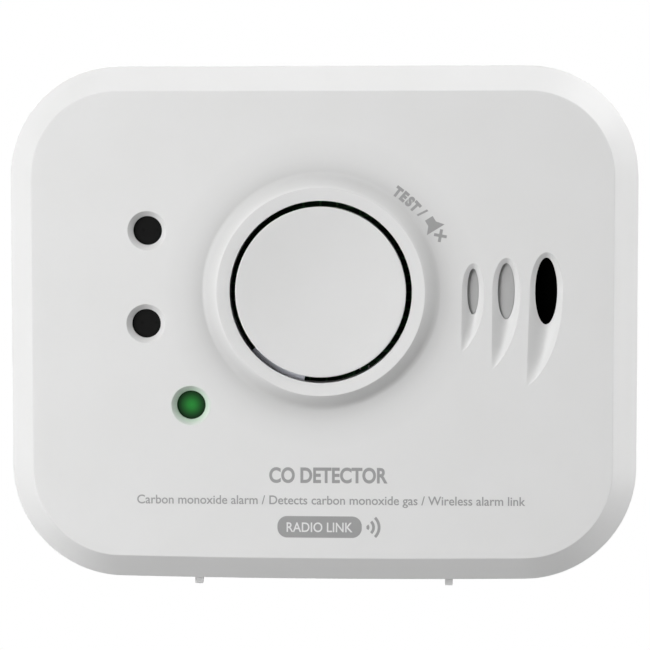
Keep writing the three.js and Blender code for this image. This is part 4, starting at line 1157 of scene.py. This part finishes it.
cover = cover_shell()
weld(cover, boss())
for x in (-NIB_X, NIB_X):
    weld(cover, nib(x))
for x, z in corners:
    weld(cover, rod("post", x, z, POST_RADIUS, PARTING, FACE + WALL / 2))
    cut(cover, rod("pilot", x, z, SCREW_BORE, PARTING + CUT, CASE_SCREW_END))
for x, z in BOARD_POSTS:
    weld(cover, rod("post", x, z, BOARD_POST_RADIUS, ON_BOARD, FACE + WALL / 2))
    cut(cover, rod("pilot", x, z, BOARD_SCREW_BORE, ON_BOARD + CUT, BOARD_SCREW_END))
cut(cover, rod("bore", *BUTTON_PLACE, BORE_RADIUS, BEHIND_FACE, RIM - CUT, 160))
pocket_size = (BUTTON_RADIUS, STRAP_OUTER + POCKET_SLACK, BEHIND_FACE, POCKET_FRONT)
pocket_ends = (STRAP_START - STRAP_SLACK, STRAP_END + STRAP_SLACK)
cut(cover, arc_solid("pocket", *BUTTON_PLACE, *pocket_size, *pocket_ends, 24))
lights = ("alarm", "fault", "power")
light_places = {light: middle(*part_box(light + "_light_pipe"))[:2] for light in lights}
for light in lights:
    cut(cover, window_cutter(*light_places[light]))
for vent in VENTS:
    cut(cover, scoop_cutter(vent))
    cut(cover, vent_plug(vent, 0, BEHIND_FACE, FACE - CUT))
cover_plastic = white_plastic("cover_plastic")
# Painted shade darkens the plastic's colour in the crease round the ring.
boss_shade = [(radius, (shade, shade, shade)) for radius, shade in BOSS_SHADE]
painted_shade_and_light_round(cover_plastic, *BUTTON_PLACE, FACE, boss_shade)
# Painted light: the power window's bevel is tinted green as though lit by its lens.
painted_shade_and_light_round(cover_plastic, *light_places["power"], FACE + WINDOW_BEVEL, RIM_GLOW)
finish(cover, cover_plastic, "cover", "front_cover")


# ---- Sound baffle ----
# A grey disc behind the outlets, with a pad that fills each of the two narrower ones; its grey is painted
# shade.
# It is open only behind the widest one, where a cloth keeps dust out of the sounder; its near-black is
# painted shade.

SCREEN_LOW, SCREEN_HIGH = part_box("vent_screen")
PAD_FRONT = FACE + 1.5 * MM
PAD_ROOT = 0.4 * MM
PAD_GAP = 0.08 * MM
CLOTH_GAP = 0.35 * MM
CLOTH_THICKNESS = 0.2 * MM
CLOTH_RADIUS = 12.6 * MM


def cloth_for_painted_shade(name):
    """Black cloth without a shine, woven finely enough to look even; its near-black colour is painted shade.
    """
    material, tree, shader, place = shader_of(name)
    weave = add_node(tree, "TexChecker", Vector=place, Scale=2500).outputs["Fac"]
    threads = ramp_on(tree, weave, [(0, (0.0006, 0.0006, 0.0006)), (1, (0.0018, 0.0018, 0.0018))])
    gloss = range_on(tree, noise_on(tree, place, 900), 0.9, 1.0)
    set_inputs(tree, shader, Specular_IOR_Level=0.0, Base_Color=threads, Roughness=gloss)
    bump_on(tree, weave, shader, 0.05)
    return material


pads = [vent_plug(vent, PAD_GAP, SCREEN_LOW.y + PAD_ROOT, PAD_FRONT) for vent in VENTS[:2]]
baffle = joined("vent_screen_finished", [refined("vent_screen", 0.12), *pads])
# The baffle's grey is painted shade, darker than the cover's white so that the pads look shadowed in the
# narrower outlets; its painted crease shade is kept faint.
baffle_painted_shade_plastic = white_plastic("baffle_painted_shade_plastic", 0.5, 0.5, deepest=0.9)
finish(baffle, baffle_painted_shade_plastic, "screen", "vent_screen", even=False)
screen_x, screen_z, _ = middle(SCREEN_LOW, SCREEN_HIGH)
cloth_front = SCREEN_HIGH.y + CLOTH_GAP
cloth_back = cloth_front + CLOTH_THICKNESS
# The cloth's near-black colour is painted shade for the sounder's dark hollow behind the widest outlet.
cloth = rod("painted_shade_cloth", screen_x, screen_z, CLOTH_RADIUS, cloth_back, cloth_front, 64)
round_edges(cloth, both_at(cloth_back), CLOTH_THICKNESS / 3, 2)
finish(cloth, cloth_for_painted_shade("black_painted_shade_cloth"), "rubber")


# ---- Light pipes ----
# Three turned plastic lenses with a wide head behind each window and a stem down to the diode. The
# upper two are smoked and dark; the lowest glows green from its middle.

PIPE_HEAD_HEIGHT = 1.5 * MM
PIPE_STEM = 2.2 * MM
LENS_EDGE = 0.1 * MM
LEAD_PLACES = [(-0.87 * MM, 0.1 * MM), (1.84 * MM, 0.1 * MM)]
LEAD_RADIUS = 0.45 * MM
LEAD_COLOUR = (0.0035, 0.0035, 0.0035, 1)
GLOW_RADIUS = WINDOW_RADIUS * 1.25
# The light of the lit lens, from near its rim to its middle.
LENS_GLOW = [(0.2, (0.003, 0.012, 0.004)), (0.34, (0.007, 0.033, 0.009)), (0.45, (0.009, 0.062, 0.014))]
LENS_GLOW += [(0.56, (0.013, 0.096, 0.019)), (0.78, (0.018, 0.178, 0.029)), (1.0, (0.021, 0.237, 0.036))]


def light_pipe(name, low, high):
    """A head as wide as its seat, on a stem."""
    x, z, head = middle(low, high)
    shoulder = low.y + PIPE_HEAD_HEIGHT
    profile = [[0, high.y], [PIPE_STEM, high.y], [PIPE_STEM, shoulder], [head, shoulder]]
    profile += [[head, low.y + LENS_EDGE], [head - LENS_EDGE, low.y], [0, low.y]]
    return turned_solid(name, x, z, profile, 72)


def lens_plastic(name, dark, light):
    """Polycarbonate that is tinted between two colours: its material, nodes and colour."""
    material, tree, shader, place = shader_of(name)
    tint = ramp_on(tree, noise_on(tree, place, 300), [(0.3, dark), (0.7, light)])
    gloss = range_on(tree, noise_on(tree, place, 700), 0.28, 0.36)
    set_inputs(tree, shader, Specular_IOR_Level=0.06, Roughness=gloss, Base_Color=tint)
    bump_on(tree, noise_on(tree, place, 2500, 2), shader, 0.002)
    return material, tree, shader, place, tint


def smoked_lens(name, x, z, y):
    """Nearly black polycarbonate, the two leads of the diode showing faintly through it."""
    dark = (0.0072, 0.0072, 0.0072)
    material, tree, shader, place, smoke = lens_plastic(name, dark, (0.0082, 0.0082, 0.0082))
    for across, up in LEAD_PLACES:
        lead = round_glow(tree, place, x + across, z + up, LEAD_RADIUS, y)
        smoke = mix_on(tree, smoke, LEAD_COLOUR, "MIX", lead)
    set_inputs(tree, shader, Base_Color=smoke)
    return material


def lit_lens(name, x, z, y):
    """Tinted polycarbonate lit from behind: bright green in the middle, dark green at the rim."""
    dark = (0.004, 0.009, 0.005)
    material, tree, shader, place, _ = lens_plastic(name, dark, (0.005, 0.012, 0.006))
    glow = ramp_on(tree, round_glow(tree, place, x, z, GLOW_RADIUS, y), LENS_GLOW)
    set_inputs(tree, shader, Emission_Strength=1.0, Emission_Color=glow)
    return material


for light in lights:
    low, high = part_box(light + "_light_pipe")
    pipe = light_pipe(light + "_light_pipe_turned", low, high)
    slot = "lit_lens" if light == "power" else "smoked_lens"
    lens = {"lit_lens": lit_lens, "smoked_lens": smoked_lens}[slot]
    finish(pipe, lens(light + "_lens", *light_places[light], low.y), slot, light + "_light_pipe")


# ---- Test button ----
# A large round cap of the same white plastic, slightly dished, with a rounded edge and a short skirt.
# One moulded strap at its lower left is its hinge, and a post behind it reaches the test switch.

BUTTON_DISH = 0.9 * MM
BUTTON_WALL = 1.8 * MM
BUTTON_SKIRT = 4.8 * MM
BUTTON_EDGE = 0.15 * MM
BUTTON_POST = 2 * MM
EDGE_STEPS = 6
DISH_STEPS = 24
STRAP_BACK = RIM + 4.4 * MM
STRAP_FRONT = RIM + 3.1 * MM
STRAP_MARGIN = 0.05 * MM


def button_cap():
    """The cap with its skirt and its post, drawn from the post's tip round to the dish's middle."""
    skirt = BUTTON_RADIUS - BUTTON_WALL
    skirt_end = RIM + BUTTON_SKIRT
    under = RIM + BUTTON_DISH + BUTTON_WALL
    tip = BUTTON_HIGH.y
    profile = [[0, tip], [BUTTON_POST - BUTTON_EDGE, tip], [BUTTON_POST, tip - BUTTON_EDGE]]
    profile += [[BUTTON_POST, under], [skirt, under], [skirt, skirt_end], [BUTTON_RADIUS, skirt_end]]
    for i in range(EDGE_STEPS + 1):
        turn = math.radians(90 * i / EDGE_STEPS)
        out = BUTTON_RADIUS - BUTTON_EDGE * (1 - math.cos(turn))
        profile.append([out, RIM + BUTTON_EDGE * (1 - math.sin(turn))])
    for i in range(1, DISH_STEPS + 1):
        share = 1 - i / DISH_STEPS
        profile.append([(BUTTON_RADIUS - BUTTON_EDGE) * share, RIM + BUTTON_DISH * (1 - share * share)])
    return turned_solid("test_button_moulding", *BUTTON_PLACE, profile, 160)


button = button_cap()
strap_size = (BUTTON_RADIUS - BUTTON_WALL / 2, STRAP_OUTER, STRAP_BACK, STRAP_FRONT)
weld(button, arc_solid("strap", *BUTTON_PLACE, *strap_size, STRAP_START, STRAP_END, 24))
# The button takes the painted shade at full strength, down to black deep in its gap.
button_plastic = white_plastic("button_plastic", 0.78, 0.42, deepest=0)
finish(button, button_plastic, "button", "test_button", body="test_button")
# The strap's blue tint is painted shade: it stands for the cool shade on the white strap in the gap round the
# button.
button.data.materials.append(plain_finish("strap_plastic_painted_shade_tint", (0.85, 0.86, 0.95), 0.5, grain=0.012))
for face in button.data.polygons:
    if math.dist((face.center.x, face.center.z), BUTTON_PLACE) > BUTTON_RADIUS + STRAP_MARGIN:
        face.material_index = 1


# ---- Printing on the cover ----
# Grey pad-printed legends: a title, a line that says what the alarm is, a badge for its radio link,
# and round the button the word for a test and a mute sign.

PRINT_Y = FACE
TITLE_PLACE = (1.35 * MM, -28.7 * MM)
LINE_PLACE = (1.75 * MM, -33.5 * MM)
LINE_WORDS = "Carbon monoxide alarm / Detects carbon monoxide gas / Wireless alarm link"
# Each letter, its angle round the button, and its radius and width in millimetres.
LEGEND_LETTERS = [
    ("T", 52.4, 23.8, 1.5),
    ("E", 48.8, 23.9, 1.1),
    ("S", 45.4, 23.95, 1.15),
    ("T", 42.1, 24, 1.5),
    ("/", 37.9, 24.3, 0.8),
]
LEGEND_HEIGHT = 1.86 * MM
LEGEND_WEIGHT = 0.064
MUTE_ANGLE = 31.36
MUTE_RADIUS = 24.56
CROSS_ANGLE = 25.2
CROSS_RADIUS = 24.87
CROSS_TILT = 36
CROSS_LENGTH = 2.4 * MM
CROSS_STROKE = 0.54 * MM
BADGE_X = -0.32 * MM
BADGE_Z = -38.7 * MM
BADGE_WIDTH = 16.06 * MM
BADGE_HEIGHT = 4.1 * MM
WAVE_X = BADGE_X + BADGE_WIDTH / 2 + 0.7 * MM
WAVE_STROKE = 0.52 * MM


def place_on_arc(piece, angle, radius):
    """Stands a flat mark on a circle round the button, its foot towards the button."""
    turn = math.radians(angle)
    x = BUTTON_PLACE[0] + radius * MM * math.cos(turn)
    z = BUTTON_PLACE[1] + radius * MM * math.sin(turn)
    settle(piece, (x, 0, z), (0, math.radians(90 - angle), 0))
    return piece


def ink_block(x, z, width, height):
    return block("ink", x, z, width, height, PRINT_Y + INK_THICKNESS / 2, PRINT_Y - INK_THICKNESS / 2)


def mute_horn():
    """A loudspeaker seen from the side: a small magnet and a cone that widens to the right."""
    magnet = ink_block(-0.625 * MM, 0, 1.25 * MM, 1.68 * MM)
    cone = ink_block(0.575 * MM, 0, 1.35 * MM, 2 * MM)
    for vertex in cone.data.vertices:
        vertex.co.z = math.copysign(0.8 * MM if vertex.co.x < 0 else 1.92 * MM, vertex.co.z)
    weld(magnet, cone)
    return magnet


def cross_mark():
    cross = ink_block(0, 0, CROSS_LENGTH, CROSS_STROKE)
    weld(cross, ink_block(0, 0, CROSS_STROKE, CROSS_LENGTH))
    settle(cross, turn=(0, math.radians(CROSS_TILT), 0))
    return cross


def badge():
    """A solid badge with round ends, the ground for its words."""
    plaque = ink_block(BADGE_X, BADGE_Z, BADGE_WIDTH, BADGE_HEIGHT)
    round_edges(plaque, runs_deep, BADGE_HEIGHT * 0.45, 16)
    return plaque


def radio_wave(number):
    """One of the arcs that spread from the badge, the first of them nearly a dot."""
    radius = (0.5 + 1.05 * number) * MM
    inner = max(radius - WAVE_STROKE / 2, 0.05 * MM)
    levels = (PRINT_Y + INK_THICKNESS / 2, PRINT_Y - INK_THICKNESS / 2)
    return arc_solid("wave", WAVE_X, BADGE_Z, inner, radius + WAVE_STROKE / 2, *levels, -45, 45, 16)


prints = [
    printed_text("CO DETECTOR", 2.9 * MM, 22.5 * MM, *TITLE_PLACE, PRINT_Y, 0.03),
    printed_text(LINE_WORDS, 1.75 * MM, 73.9 * MM, *LINE_PLACE, PRINT_Y, 0.006),
    badge(),
    place_on_arc(mute_horn(), MUTE_ANGLE, MUTE_RADIUS),
    place_on_arc(cross_mark(), CROSS_ANGLE, CROSS_RADIUS),
    *[radio_wave(number) for number in range(3)],
]
for letter, angle, radius, width in LEGEND_LETTERS:
    mark = printed_text(letter, LEGEND_HEIGHT, width * MM, 0, 0, PRINT_Y, LEGEND_WEIGHT)
    prints.append(place_on_arc(mark, angle, radius))
grey_ink = plain_finish("grey_ink", (0.36, 0.36, 0.36), 0.5, grain=0.004, tone=0.05)
finish(joined("cover_print", prints), grey_ink, "cover", even=False)
badge_words = printed_text("RADIO LINK", 1.9 * MM, 12.6 * MM, BADGE_X, BADGE_Z, PRINT_Y, 0.012, 0.09 * MM)
badge_words.name = "badge_words"
white_ink = plain_finish("white_ink", (0.80, 0.80, 0.80), 0.5, grain=0.004, tone=0.04)
finish(badge_words, white_ink, "cover", even=False)


# ---- Screws ----
# Zinc-plated pan heads with a cross recess: three hold the board to the cover's posts, and four
# driven from the back close the case.

zinc_plate = plain_finish("zinc_plate", (0.58, 0.59, 0.60), 0.33, metallic=1, grain=0.006)
for kind, places, edge in (("board", BOARD_POSTS, 0.12), ("case", corners, 0.15)):
    for i in range(1, len(places) + 1):
        dress(f"{kind}_screw_{i}", edge, zinc_plate, "screw_steel")
